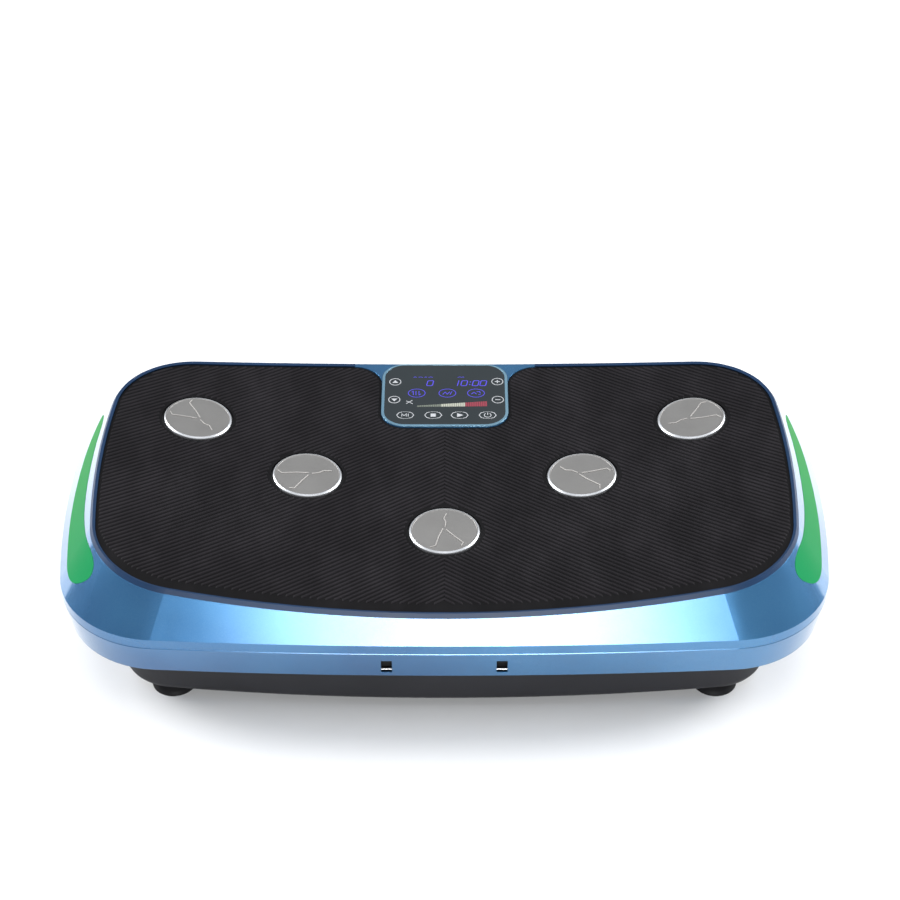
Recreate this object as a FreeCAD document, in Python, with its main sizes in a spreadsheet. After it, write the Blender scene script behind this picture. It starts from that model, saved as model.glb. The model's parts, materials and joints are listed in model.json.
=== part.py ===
import FreeCAD, Part
import math
import os
import re
import Sketcher

# A rocking vibration plate, in millimetres: X across the feet, Y towards the display,
# Z up, with the origin on the floor under the middle of the plate.

os.makedirs("parts", exist_ok=True)
doc = FreeCAD.newDocument("VibrationPlate")
sheet = doc.addObject("Spreadsheet::Sheet", "Sizes")
NODES = []

SIZES = {
    # platform shell, seen from above: four shallow arcs joined by four corner arcs
    "shell_half_width": 386.0, "shell_half_depth": 221.0,
    "side_bow": 1000.0, "front_bow": 4600.0, "corner_bow": 104.0,
    "flare_side": 41.5, "flare_front": 37.5, "flare_bow": 100.0, "flare_corner": 18.0,
    "parting_level": 92.0, "crease_level": 102.0, "flare_level": 165.0,
    "shell_wall": 3.0, "skin_thickness": 3.5,
    # the dished top
    "mat_level": 129.0, "mat_thickness": 4.0, "dish_bow": 2203.0, "dish_reach": 430.0,
    "trim_width": 3.2, "trim_shift": 1.3, "trim_proud": 0.4, "mat_gap": 0.3,
    # lower shell ring
    "ring_level": 58.0, "ring_taper": 7.0, "flange_thickness": 3.0,
    "flange_half_width": 332.0, "flange_half_depth": 207.0, "flange_corner": 60.0,
    "seam_rise": 1.2, "seam_depth": 1.1, "post_across": 343.0, "post_along": 112.0,
    # floor tray
    "tray_half_width": 326.0, "tray_half_depth": 201.0,
    "tray_side_bow": 1400.0, "tray_front_bow": 2330.0, "tray_corner": 54.0,
    "tray_level": 12.0, "tray_floor": 4.0, "tray_wall": 3.5, "tray_top": 80.0, "tray_edge": 8.0,
    "plate_half_width": 290.0, "plate_half_depth": 180.0, "plate_corner": 45.0,
    "plate_level": 16.0, "plate_top": 20.0,
    # suction feet
    "foot_across": 269.0, "foot_along": 159.0, "foot_radius": 22.0, "foot_neck": 14.0,
    "cup_radius": 17.5, "cup_depth": 2.6,
    # rocking pivot
    "pivot_level": 75.0, "pivot_along": 125.0, "block_half": 12.0, "block_radius": 24.0,
    "block_half_width": 34.0, "block_foot": 32.0, "pin_radius": 10.0, "pin_fit": 0.05,
    "bush_radius": 14.0, "lug_gap": 0.5, "lug_thickness": 6.0, "lug_half_width": 16.0,
    # steel frame under the deck
    "rail_half_length": 310.0, "rail_half_width": 20.0, "rail_level": 102.0, "rail_top": 118.0,
    "rail_wall": 2.0, "cross_inner": 270.0, "cross_outer": 300.0,
    # crank and connecting rod
    "crank_across": 118.0, "crank_level": 52.0, "crank_throw": 3.0, "shaft_radius": 8.0,
    "eccentric_radius": 15.0, "bearing_radius": 19.0, "big_end_radius": 25.0,
    "small_end_level": 98.0, "small_end_radius": 17.0, "eye_radius": 12.7,
    "rod_pin_radius": 5.0, "rod_front": -40.0, "rod_back": -22.0,
    "beam_half_width": 14.0, "beam_level": 90.0, "beam_top": 114.0,
    "crank_bush_radius": 13.0, "crank_block_radius": 20.0,
    # belt drive
    "belt_front": 8.3, "belt_back": 21.7, "pulley_front": 6.0, "pulley_back": 24.0,
    "pulley_flange": 2.0, "big_pulley": 29.0, "small_pulley": 11.6, "flange_rise": 2.2,
    "belt_gap": 0.25, "belt_thickness": 2.4,
    # drive motor
    "motor_across": -110.0, "motor_level": 62.0, "motor_radius": 38.0, "motor_bore": 34.0,
    "motor_front": -98.0, "motor_back": -14.0, "motor_cap_back": -6.0,
    "motor_shaft": 6.0, "rotor_radius": 24.5, "stator_bore": 25.5,
    # second motor, hung under the deck, that gives the small fast vibration
    "pulse_across": -235.0, "pulse_level": 84.0, "pulse_radius": 24.0, "pulse_bore": 20.5,
    "pulse_half": 50.0, "pulse_shaft": 5.0, "pulse_rotor": 14.0, "pulse_stator_bore": 15.0,
    "weight_radius": 18.0, "weight_near": 54.0, "weight_far": 70.0,
    # rubber buffers
    "buffer_across": 230.0, "buffer_along": 125.0, "buffer_radius": 17.0, "buffer_level": 66.0,
    "stand_half": 21.0,
    # display
    "glass_half_width": 64.0, "glass_front": 95.0, "glass_back": 201.8, "glass_corner": 22.0,
    "glass_level": 127.2, "glass_top": 130.0,
    "bezel_half_width": 67.1, "bezel_front": 91.9, "bezel_back": 203.4, "bezel_corner": 25.0,
    "bezel_level": 127.0, "bezel_top": 130.3,
    "notch_corner": 30.0, "notch_back": 198.0, "housing_level": 118.8,
    # discs let into the mat
    "disc_radius": 35.0, "disc_hole": 37.2, "disc_thickness": 4.1, "disc_seat": 0.4,
    "disc_edge": 1.2,
    # band anchors
    "slot_across": 55.6, "slot_half_width": 5.25, "slot_low": 63.0, "slot_high": 81.0,
    "bar_radius": 1.5, "bar_along": -208.4, "bar_level": 61.9,
    "pocket_back": -203.5, "pocket_low": 58.0, "pocket_high": 83.0, "lip_back": -211.8,
    # mains side
    "panel_left": 46.0, "panel_right": 128.0, "panel_low": 24.0, "panel_high": 52.0,
    "panel_inner": 196.0, "panel_face": 203.0, "inlet_across": 68.0, "switch_across": 108.0,
    "socket_level": 38.0, "rocker_along": 196.0, "rocker_half": 8.8, "rocker_tilt": 8.0,
}

# Corners of the side light, as (along, height), from the bulb at the front round to the tip.
LENS_EDGE = [
    (-154, 127), (-147, 118), (-128, 114.5), (-90, 114.6), (-40, 115.4), (10, 117.6),
    (55, 120.6), (88, 126), (106, 133.5), (92, 139.6), (60, 141.8), (15, 141.4),
    (-35, 141), (-75, 142), (-103, 145), (-128, 147.4), (-144, 144), (-153, 136),
]
# Where the five discs lie, as (across, along).
DISC_PLACES = [(0, -79), (140, 5.6), (-140, 5.6), (257.5, 88), (-257.5, 88)]


def fill_sheet():
    """Write every driving size into the sheet, one named cell each."""
    for row, (name, size) in enumerate(SIZES.items(), start=1):
        sheet.set("A%d" % row, name)
        sheet.set("B%d" % row, str(size))
        sheet.setAlias("B%d" % row, name)
    doc.recompute()


def bound(formula):
    """Turn a formula of size names into one that any object can be driven by."""
    return re.sub(r"[a-z][a-z_]+", lambda word: "Sizes." + word.group(0), str(formula))


def value(formula):
    """The number a formula of size names comes to."""
    result = sheet.evalExpression(bound(formula))
    return float(getattr(result, "Value", result))


def node(item, label):
    """Name an object as one of the pieces to be written out."""
    item.Label = label
    NODES.append(item)
    return item


def new_body(label):
    """An empty body whose separate lumps may stay separate."""
    body = doc.addObject("PartDesign::Body", label)
    body.AllowCompound = True
    return body


# ---- sketch helpers ---------------------------------------------------------------------

def sketch_on(body, role, height):
    """A sketch on one of the body's own planes, moved to a height along +X, +Y or +Z."""
    sketch = body.newObject("Sketcher::SketchObject", body.Name + "_sketch")
    plane = [item for item in body.Origin.OriginFeatures if item.Role == role][0]
    sketch.AttachmentSupport = [(plane, "")]
    sketch.MapMode = "FlatFace"
    sign = "-1" if role == "XZ_Plane" else "1"
    sketch.setExpression(".AttachmentOffset.Base.z", "%s * (%s)" % (sign, bound(height)))
    return sketch


def hold(sketch, kind, formula, *where):
    """Add one dimension and drive it by a formula."""
    index = sketch.addConstraint(Sketcher.Constraint(kind, *where, value(formula)))
    sketch.setExpression("Constraints[%d]" % index, bound(formula))


def hold_point(sketch, piece, end, across, along):
    """Fix one end or centre of a sketch line at two formulas."""
    hold(sketch, "DistanceX", across, -1, 1, piece, end)
    hold(sketch, "DistanceY", along, -1, 1, piece, end)


def polygon(sketch, corners):
    """A closed outline of straight lines, each corner held by two formulas."""
    spots = [FreeCAD.Vector(value(across), value(along), 0) for across, along in corners]
    first = sketch.GeometryCount
    count = len(spots)
    for index in range(count):
        sketch.addGeometry(Part.LineSegment(spots[index], spots[(index + 1) % count]))
    for index in range(count):
        follower = first + (index + 1) % count
        sketch.addConstraint(Sketcher.Constraint("Coincident", first + index, 2, follower, 1))
    for index, (across, along) in enumerate(corners):
        hold_point(sketch, first + index, 1, across, along)


def rectangle(sketch, left, right, low, high):
    """A rectangle between four formulas."""
    polygon(sketch, [(left, low), (right, low), (right, high), (left, high)])


def circle(sketch, across, along, radius):
    """A circle whose centre and radius are formulas."""
    centre = FreeCAD.Vector(value(across), value(along), 0)
    spot = sketch.addGeometry(Part.Circle(centre, FreeCAD.Vector(0, 0, 1), value(radius)))
    hold_point(sketch, spot, 3, across, along)
    hold(sketch, "Radius", radius, spot)


def arc(sketch, centre, radius, start, stop):
    """A plain arc between two angles in radians."""
    round_line = Part.Circle(FreeCAD.Vector(centre[0], centre[1], 0),
                             FreeCAD.Vector(0, 0, 1), radius)
    return sketch.addGeometry(Part.ArcOfCircle(round_line, start, stop))


def corner_centre(half_width, half_depth, side_bow, front_bow, corner_bow):
    """Where a corner arc is centred so that it meets the side arc and the front arc smoothly."""
    front = (0.0, half_depth - front_bow)
    side = (half_width - side_bow, 0.0)
    to_front = front_bow - corner_bow
    to_side = side_bow - corner_bow
    gap = math.hypot(side[0] - front[0], side[1] - front[1])
    step = (to_front ** 2 - to_side ** 2 + gap ** 2) / (2 * gap)
    rise = math.sqrt(to_front ** 2 - step ** 2)
    unit = ((side[0] - front[0]) / gap, (side[1] - front[1]) / gap)
    spots = [(front[0] + unit[0] * step - turn * unit[1] * rise,
              front[1] + unit[1] * step + turn * unit[0] * rise) for turn in (1, -1)]
    return max(spots, key=sum)


def bowed_outline(sketch, half_width, half_depth, side_bow, front_bow, corner_bow, shift="0"):
    """A closed outline of four shallow arcs and four corner arcs, every joint smooth."""
    formulas = (half_width, half_depth, side_bow, front_bow, corner_bow)
    wide, deep, side, front, corner = [value(item) for item in formulas]
    move = value(shift)
    spot = corner_centre(wide, deep, side, front, corner)
    lean = math.atan2(spot[0], spot[1] + front - deep)
    rise = math.atan2(spot[1], spot[0] + side - wide)
    quarter = math.pi / 2
    arcs = [
        ((wide - side, 0), side, -rise, rise),
        ((spot[0], spot[1]), corner, rise, quarter - lean),
        ((0, deep - front), front, quarter - lean, quarter + lean),
        ((-spot[0], spot[1]), corner, quarter + lean, 2 * quarter - rise),
        ((side - wide, 0), side, 2 * quarter - rise, 2 * quarter + rise),
        ((-spot[0], -spot[1]), corner, 2 * quarter + rise, 3 * quarter - lean),
        ((0, front - deep), front, 3 * quarter - lean, 3 * quarter + lean),
        ((spot[0], -spot[1]), corner, 3 * quarter + lean, 4 * quarter - rise),
    ]
    lines = [arc(sketch, (centre[0], centre[1] + move), radius, start, stop)
             for centre, radius, start, stop in arcs]
    for index in range(8):
        pair = (lines[index], 2, lines[(index + 1) % 8], 1)
        sketch.addConstraint(Sketcher.Constraint("Tangent", *pair))
    hold_point(sketch, lines[0], 3, "(%s) - (%s)" % (half_width, side_bow), shift)
    hold_point(sketch, lines[4], 3, "(%s) - (%s)" % (side_bow, half_width), shift)
    hold_point(sketch, lines[2], 3, "0", "(%s) - (%s) + (%s)" % (half_depth, front_bow, shift))
    hold_point(sketch, lines[6], 3, "0", "(%s) - (%s) + (%s)" % (front_bow, half_depth, shift))
    for index, radius in enumerate((side_bow, corner_bow, front_bow, corner_bow) * 2):
        hold(sketch, "Radius", radius, lines[index])


def dish_region(sketch, dish, edge, reach="dish_reach"):
    """The area between the dished line (its lowest point at dish) and a level edge."""
    level, flat, far, bow = [value(item) for item in (dish, edge, reach, "dish_bow")]
    sweep = math.asin(far / bow)
    curve = arc(sketch, (0, level + bow), bow, 1.5 * math.pi - sweep, 1.5 * math.pi + sweep)
    rise = level + bow - math.sqrt(bow ** 2 - far ** 2)
    path = [(far, rise), (far, flat), (-far, flat), (-far, rise)]
    lines = [sketch.addGeometry(Part.LineSegment(FreeCAD.Vector(*one, 0), FreeCAD.Vector(*two, 0)))
             for one, two in zip(path, path[1:])]
    chain = [curve] + lines
    for index in range(4):
        pair = (chain[index], 2, chain[(index + 1) % 4], 1)
        sketch.addConstraint(Sketcher.Constraint("Coincident", *pair))
    hold_point(sketch, curve, 3, "0", "(%s) + dish_bow" % dish)
    hold(sketch, "Radius", "dish_bow", curve)
    hold(sketch, "DistanceX", reach, -1, 1, curve, 2)
    hold(sketch, "DistanceX", "-1 * (%s)" % reach, -1, 1, curve, 1)
    hold_point(sketch, lines[1], 1, reach, edge)
    hold_point(sketch, lines[1], 2, "-1 * (%s)" % reach, edge)


# ---- feature helpers --------------------------------------------------------------------

def prism(body, kind, role, low, high, draw):
    """Pad or Pocket whatever draw puts on a sketch, from low to high along its axis."""
    sketch = sketch_on(body, role, "((%s) + (%s)) / 2" % (low, high))
    draw(sketch)
    item = body.newObject("PartDesign::" + kind, body.Name + "_" + kind.lower())
    item.Profile = sketch
    item.SideType = "Symmetric"
    item.setExpression("Length", bound("(%s) - (%s)" % (high, low)))
    sketch.Visibility = False
    return item


def box(body, kind, across, along, height):
    """Pad or Pocket a box between three pairs of formulas."""
    return prism(body, kind, "XY_Plane", height[0], height[1],
                 lambda sketch: rectangle(sketch, across[0], across[1], along[0], along[1]))


def rounds(body, kind, axis, spots, radius, low, high):
    """Pad or Pocket one or more equal round bars along an axis."""
    role = {"X": "YZ_Plane", "Y": "XZ_Plane", "Z": "XY_Plane"}[axis]

    def draw(sketch):
        for across, along in spots:
            circle(sketch, across, along, radius)
    return prism(body, kind, role, low, high, draw)


def loft(body, kind, levels):
    """Loft straight lines between outlines; levels pairs a height with a drawing function."""
    sketches = []
    for height, draw in levels:
        sketch = sketch_on(body, "XY_Plane", height)
        draw(sketch)
        sketch.Visibility = False
        sketches.append(sketch)
    item = body.newObject("PartDesign::" + kind, body.Name + "_loft")
    item.Profile = sketches[0]
    item.Sections = sketches[1:]
    item.Ruled = True
    return item


def edges_where(shape, test):
    """Names of the edges that pass a test."""
    return ["Edge%d" % number for number, edge in enumerate(shape.Edges, start=1) if test(edge)]


def dress(body, kind, size, test):
    """Fillet or Chamfer the edges of the body that pass a test."""
    doc.recompute()
    tip = body.Tip
    names = edges_where(tip.Shape, test)
    if not names:
        raise ValueError("no edge to dress on " + body.Label)
    item = body.newObject("PartDesign::" + kind, body.Name + "_" + kind.lower())
    item.Base = (tip, names)
    item.setExpression("Radius" if kind == "Fillet" else "Size", bound(size))
    return item


def upright(edge):
    """True for a straight edge that runs along Z."""
    if edge.Curve.TypeId != "Part::GeomLine":
        return False
    return abs(edge.tangentAt(edge.FirstParameter).z) > 0.999


def turned(label, corners):
    """A body turned about the Z axis from a half profile of (radius, height) formulas."""
    body = new_body(label)
    sketch = sketch_on(body, "XZ_Plane", "0")
    polygon(sketch, corners)
    item = body.newObject("PartDesign::Revolution", body.Name + "_turn")
    item.Profile = sketch
    item.ReferenceAxis = (sketch, ["V_Axis"])
    item.Angle = 360
    sketch.Visibility = False
    return body


def mirrored(source, normal):
    """The mirror image of an object across the plane through the origin."""
    item = doc.addObject("Part::Mirroring", source.Name + "_mirror")
    item.Source = source
    item.Base = FreeCAD.Vector(0, 0, 0)
    item.Normal = FreeCAD.Vector(*normal)
    return item


def together(items, label):
    """Several separate solids kept as one piece of the list."""
    group = doc.addObject("Part::Compound", label)
    group.Links = items
    return group


def joined(items, label):
    """Several overlapping objects made one solid."""
    item = doc.addObject("Part::MultiFuse", label)
    item.Shapes = items
    return item


def difference(base, tool, label):
    """One object with another cut away."""
    item = doc.addObject("Part::Cut", label)
    item.Base = base
    item.Tool = tool
    return item


def overlap(items, label):
    """What several objects have in common."""
    item = doc.addObject("Part::MultiCommon", label)
    item.Shapes = items
    return item


def four_corners(across, along):
    """The four sign combinations of one position."""
    return [("%s * (%s)" % (side, across), "%s * (%s)" % (end, along))
            for side in ("1", "-1") for end in ("1", "-1")]


# ---- platform shells --------------------------------------------------------------------

def shell_outline(inset, drop, shift="0"):
    """Outline of the platform, moved in by inset; drop is 0 at the crease, 1 at the flare top."""
    def draw(sketch):
        cut = " - (%s)" % inset
        bowed_outline(
            sketch,
            "shell_half_width - flare_side * %s%s" % (drop, cut),
            "shell_half_depth - flare_front * %s%s" % (drop, cut),
            "side_bow - flare_bow * %s%s" % (drop, cut),
            "front_bow - flare_bow * %s%s" % (drop, cut),
            "corner_bow - flare_corner * %s%s" % (drop, cut),
            shift)
    return draw


def shell_block(label, inset, top_dish, shift="0", low_dish=None):
    """The flared body of the platform as a solid, its top dished, its bottom flat or dished."""
    body = new_body(label)
    loft(body, "AdditiveLoft", [
        ("parting_level", shell_outline(inset, "0", shift)),
        ("crease_level", shell_outline(inset, "0", shift)),
        ("flare_level", shell_outline(inset, "1", shift)),
    ])
    prism(body, "Pocket", "XZ_Plane", "-300", "300",
          lambda sketch: dish_region(sketch, top_dish, "flare_level + 60"))
    if low_dish:
        prism(body, "Pocket", "XZ_Plane", "-300", "300",
              lambda sketch: dish_region(sketch, low_dish, "20"))
    return body


def notch_outline(gap):
    """The bay in the mat round the display, wide open at the back edge."""
    def draw(sketch):
        half, near = value("bezel_half_width"), value("bezel_front")
        front, back = value("bezel_corner"), value("notch_corner")
        far, end = value("notch_back"), 260.0
        half, near = half + value(gap), near - value(gap)
        outer = half + back
        quarter = math.pi / 2
        bends = [
            ((half - front, near + front), front, 3 * quarter, 4 * quarter),
            ((outer, far - back), back, quarter, 2 * quarter),
            ((-outer, far - back), back, 0, quarter),
            ((front - half, near + front), front, 2 * quarter, 3 * quarter),
        ]
        for centre, radius, start, stop in bends:
            arc(sketch, centre, radius, start, stop)
        path = [
            ((front - half, near), (half - front, near)),
            ((half, near + front), (half, far - back)),
            ((outer, far), (outer, end)),
            ((outer, end), (-outer, end)),
            ((-outer, end), (-outer, far)),
            ((-half, far - back), (-half, near + front)),
        ]
        for one, two in path:
            sketch.addGeometry(Part.LineSegment(FreeCAD.Vector(*one, 0), FreeCAD.Vector(*two, 0)))
        hold(sketch, "Radius", "bezel_corner", 0)
        hold(sketch, "Radius", "notch_corner", 1)
    return draw


def mat_room(label, gap):
    """Everything above the deck skin except the bay round the display."""
    body = new_body(label)
    box(body, "Pad", ("-450", "450"), ("-280", "280"), ("100", "200"))
    prism(body, "Pocket", "XZ_Plane", "-300", "300",
          lambda sketch: dish_region(sketch, "mat_level - mat_thickness", "20"))
    prism(body, "Pocket", "XY_Plane", "90", "210", notch_outline(gap))
    return body


def rounded_block(label, half_width, front, back, corner, low, high):
    """A flat block with four equal upright corners."""
    body = new_body(label)
    box(body, "Pad", ("-1 * (%s)" % half_width, half_width), (front, back), (low, high))
    dress(body, "Fillet", corner, upright)
    return body


def lens_prism(label, grow):
    """The side light's outline run out sideways through the flare of the shell."""
    body = new_body(label)
    sketch = sketch_on(body, "YZ_Plane", "350")
    middle = FreeCAD.Vector(-20, 130, 0)
    spots = []
    for along, height in LENS_EDGE:
        spot = FreeCAD.Vector(along, height, 0)
        outward = (spot - middle).normalize()
        spots.append(spot + outward * grow)
    curve = Part.BSplineCurve()
    curve.interpolate(spots, PeriodicFlag=True)
    sketch.addGeometry(curve)
    item = body.newObject("PartDesign::Pad", label + "_pad")
    item.Profile = sketch
    item.SideType = "Symmetric"
    item.setExpression("Length", bound("shell_half_width / 4"))
    sketch.Visibility = False
    return body


def build_shells():
    """Upper shell, lens pair, trim, mat, lower ring."""
    outside = shell_block("shell_outside", "0", "mat_level")
    inside = shell_block("shell_inside", "shell_wall",
                         "mat_level - mat_thickness - skin_thickness")
    hollow = difference(outside, inside, "shell_hollow")

    rib = new_body("shell_rib")
    prism(rib, "Pad", "XZ_Plane", "pivot_along - 2", "pivot_along + 2",
          lambda sketch: dish_region(sketch, "mat_level - mat_thickness - 1.5",
                                     "rail_top + 0.2", "rail_half_length - 4"))
    posts = new_body("shell_posts")
    rounds(posts, "Pad", "Z", four_corners("100", "pivot_along"), "6", "rail_top + 0.2", "125")
    rounds(posts, "Pad", "Z", four_corners("290", "pivot_along"), "6", "rail_top + 0.2", "142")
    rounds(posts, "Pad", "Z", four_corners("post_across", "post_along"), "6", "95", "146")
    rounds(posts, "Pad", "Z", [("356", "0"), ("-356", "0")], "6", "95", "108")
    for left, right in (("356", "384"), ("-384", "-356")):
        box(posts, "Pad", (left, right), ("-2", "2"), ("95", "103"))
    light_wall = new_body("light_wall")
    box(light_wall, "Pad", ("348", "350"), ("-95", "85"), ("112", "148"))
    solid = joined([hollow, rib, mirrored(rib, (0, 1, 0)), posts, light_wall,
                    mirrored(light_wall, (1, 0, 0))], "shell_solid")

    screw_bores = new_body("screw_bores")
    rounds(screw_bores, "Pad", "Z", four_corners("100", "pivot_along"), "2.5", "110", "122")
    rounds(screw_bores, "Pad", "Z", four_corners("290", "pivot_along"), "2.5", "110", "122")
    rounds(screw_bores, "Pad", "Z", four_corners("post_across", "post_along"), "1.7",
           "90", "108")
    rounds(screw_bores, "Pad", "Z", [("356", "0"), ("-356", "0")], "1.7", "90", "108")
    opening = rounded_block("display_opening", "bezel_half_width + 0.2", "bezel_front - 0.2",
                            "bezel_back + 0.2", "bezel_corner + 0.2", "110", "140")
    around = shell_block("lens_reach", "-1", "mat_level")
    core = shell_block("lens_limit", "shell_wall + 1", "mat_level + 1")
    lens_hole = overlap([difference(around, core, "lens_band"),
                         lens_prism("lens_cut", 0.15)], "lens_hole")
    cutters = together([mat_room("mat_recess", "0.3"), opening, lens_hole,
                        mirrored(lens_hole, (1, 0, 0)), screw_bores], "shell_cutters")
    node(difference(solid, cutters, "upper_shell"), "upper_shell")

    proud = shell_block("lens_outside", "-0.3", "mat_level")
    core = shell_block("lens_inside", "shell_wall - 0.4", "mat_level + 1")
    lens = overlap([difference(proud, core, "lens_skin"), lens_prism("lens_body", 0.0)],
                   "side_light_lens_right")
    node(lens, "side_light_lens_right")
    node(mirrored(lens, (1, 0, 0)), "side_light_lens_left")

    rim = shell_block("trim_outside", "0", "mat_level + trim_proud")
    middle = shell_block("trim_inside", "trim_width", "mat_level + 8", "-1 * trim_shift")
    ring = overlap([rim, mat_room("trim_room", "0.3")], "trim_slice")
    node(difference(ring, middle, "mat_trim"), "mat_trim")

    pad = shell_block("mat_outside", "trim_width + mat_gap", "mat_level", "-1 * trim_shift")
    sheet_of_rubber = overlap([pad, mat_room("mat_slice", "0.6")], "mat_sheet")
    holes = new_body("mat_holes")
    rounds(holes, "Pad", "Z", [(str(across), str(along)) for across, along in DISC_PLACES],
           "disc_hole", "100", "190")
    node(difference(sheet_of_rubber, holes, "foot_mat"), "foot_mat")


def build_lower_shell():
    """The ring under the parting line, with its floor flange and its two band slots."""
    body = new_body("lower_shell")

    def ring_outline(inset, level):
        drop = "ring_taper * (parting_level - %s) / (parting_level - ring_level)" % level
        return shell_outline("%s + %s" % (inset, drop), "0")
    seam = "(parting_level - seam_rise)"
    loft(body, "AdditiveLoft", [("ring_level", ring_outline("0", "ring_level")),
                                (seam, ring_outline("0", seam)),
                                ("parting_level", ring_outline("seam_depth", "parting_level"))])
    floor = "(ring_level + flange_thickness)"
    loft(body, "SubtractiveLoft", [(floor, ring_outline("shell_wall", floor)),
                                   ("parting_level", ring_outline("shell_wall",
                                                                  "parting_level"))])
    prism(body, "Pocket", "XY_Plane", "ring_level - 1", "ring_level + 5",
          lambda sketch: bowed_outline(sketch, "flange_half_width", "flange_half_depth",
                                       "tray_side_bow", "tray_front_bow", "flange_corner"))
    places = four_corners("post_across", "post_along") + [("356", "0"), ("-356", "0")]
    rounds(body, "Pad", "Z", places, "6", "ring_level", "95")
    rounds(body, "Pocket", "Z", places, "2.2", "ring_level - 1", "96")
    rounds(body, "Pocket", "Z", places, "4.2", "ring_level - 1", "ring_level + 3")
    for side in ("1", "-1"):
        middle = "%s * slot_across" % side
        pocket = [("pocket_back", "pocket_low"), ("pocket_back", "pocket_high"),
                  ("-217.6", "pocket_high"), ("-213", "pocket_low")]
        prism(body, "Pad", "YZ_Plane", middle + " - 8", middle + " + 8",
              lambda sketch: polygon(sketch, pocket))
        left, right = middle + " - slot_half_width", middle + " + slot_half_width"
        box(body, "Pocket", (left, right), ("-225", "pocket_back - 1.5"),
            ("slot_low", "slot_high"))
        box(body, "Pocket", (left, right), ("lip_back", "pocket_back - 1.5"),
            ("pocket_low + 0.8", "slot_low + 1"))
        rounds(body, "Pocket", "X", [("bar_along", "bar_level")], "bar_radius",
               middle + " - 7", middle + " + 7")
    node(body, "lower_shell")

    bars = new_body("band_anchor_bars")
    for side in ("1", "-1"):
        middle = "%s * slot_across" % side
        rounds(bars, "Pad", "X", [("bar_along", "bar_level")], "bar_radius",
               middle + " - 7", middle + " + 7")
    node(bars, "band_anchor_bars")

    screws = new_body("shell_screws")
    rounds(screws, "Pad", "Z", places, "1.7", "ring_level + 2", "106")
    rounds(screws, "Pad", "Z", places, "3.9", "ring_level + 0.4", "ring_level + 3")
    rounds(screws, "Pocket", "Z", places, "1.3", "ring_level", "ring_level + 1.6")
    node(screws, "shell_screws")

    strips = new_body("side_light_strips")
    for side in ("1", "-1"):
        near, far = "%s * 350" % side, "%s * 351.6" % side
        low, high = (near, far) if side == "1" else (far, near)
        box(strips, "Pad", (low, high), ("-90", "80"), ("120", "130"))
        spots = [(str(step), "125") for step in range(-80, 81, 20)]
        start, stop = ("351", "352.6") if side == "1" else ("-352.6", "-351")
        rounds(strips, "Pad", "X", spots, "2.5", start, stop)
    node(strips, "side_light_strips")


# ---- mat discs and display --------------------------------------------------------------

def build_discs():
    """Five equal discs, each set square to the dished deck under it."""
    discs = []
    for number, (across, along) in enumerate(DISC_PLACES, start=1):
        body = turned("disc_%d" % number, [
            ("0", "0"), ("disc_radius", "0"), ("disc_radius", "disc_thickness - disc_edge"),
            ("disc_radius - disc_edge", "disc_thickness"),
            ("disc_radius - 2.6", "disc_thickness"), ("disc_radius - 3", "disc_thickness - 0.3"),
            ("0", "disc_thickness - 0.3")])
        lean = math.asin(across / value("dish_bow"))
        centre = value("mat_level - mat_thickness + dish_bow")
        reach = value("dish_bow - disc_seat")
        spot = FreeCAD.Vector(reach * math.sin(lean), along, centre - reach * math.cos(lean))
        turn = FreeCAD.Rotation(FreeCAD.Vector(0, 1, 0), -math.degrees(lean))
        body.Placement = FreeCAD.Placement(spot, turn)
        discs.append(body)
    node(together(discs, "mat_discs"), "mat_discs")


def build_display():
    """Glass, trim ring, circuit board and the tray that holds them."""
    glass = rounded_block("display_glass", "glass_half_width", "glass_front", "glass_back",
                          "glass_corner", "glass_level", "glass_top")
    node(glass, "display_glass")

    ring = rounded_block("display_ring", "bezel_half_width", "bezel_front", "bezel_back",
                         "bezel_corner", "bezel_level", "bezel_top")
    hole = rounded_block("display_ring_hole", "glass_half_width + 0.1", "glass_front - 0.1",
                         "glass_back + 0.1", "glass_corner + 0.1", "bezel_level - 5", "140")
    node(difference(ring, hole, "display_bezel"), "display_bezel")

    tray = rounded_block("display_tray", "bezel_half_width - 0.2", "bezel_front + 0.2",
                         "bezel_back - 0.2", "bezel_corner - 0.2", "housing_level",
                         "bezel_level")
    well = rounded_block("display_well", "glass_half_width - 2", "glass_front + 2",
                         "glass_back - 2", "glass_corner - 2", "housing_level + 1.6", "140")
    posts = new_body("display_posts")
    rounds(posts, "Pad", "Z", [("-54", "110"), ("54", "110"), ("-54", "187"), ("54", "187")],
           "3", "housing_level", "122")
    node(joined([difference(tray, well, "display_shell"), posts], "display_housing"),
         "display_housing")

    board = new_body("display_board")
    box(board, "Pad", ("-59", "59"), ("104", "193"), ("122", "123.6"))
    dress(board, "Fillet", "8", upright)
    box(board, "Pad", ("-46", "46"), ("128", "180"), ("123.6", "126.4"))
    rounds(board, "Pad", "Z", [("-54", "120"), ("-54", "150"), ("54", "120"), ("54", "150"),
                               ("-36", "112"), ("-12", "112"), ("12", "112"), ("36", "112")],
           "3", "123.6", "126.8")
    node(board, "display_board")


# ---- floor tray, feet and base plate ----------------------------------------------------

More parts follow.
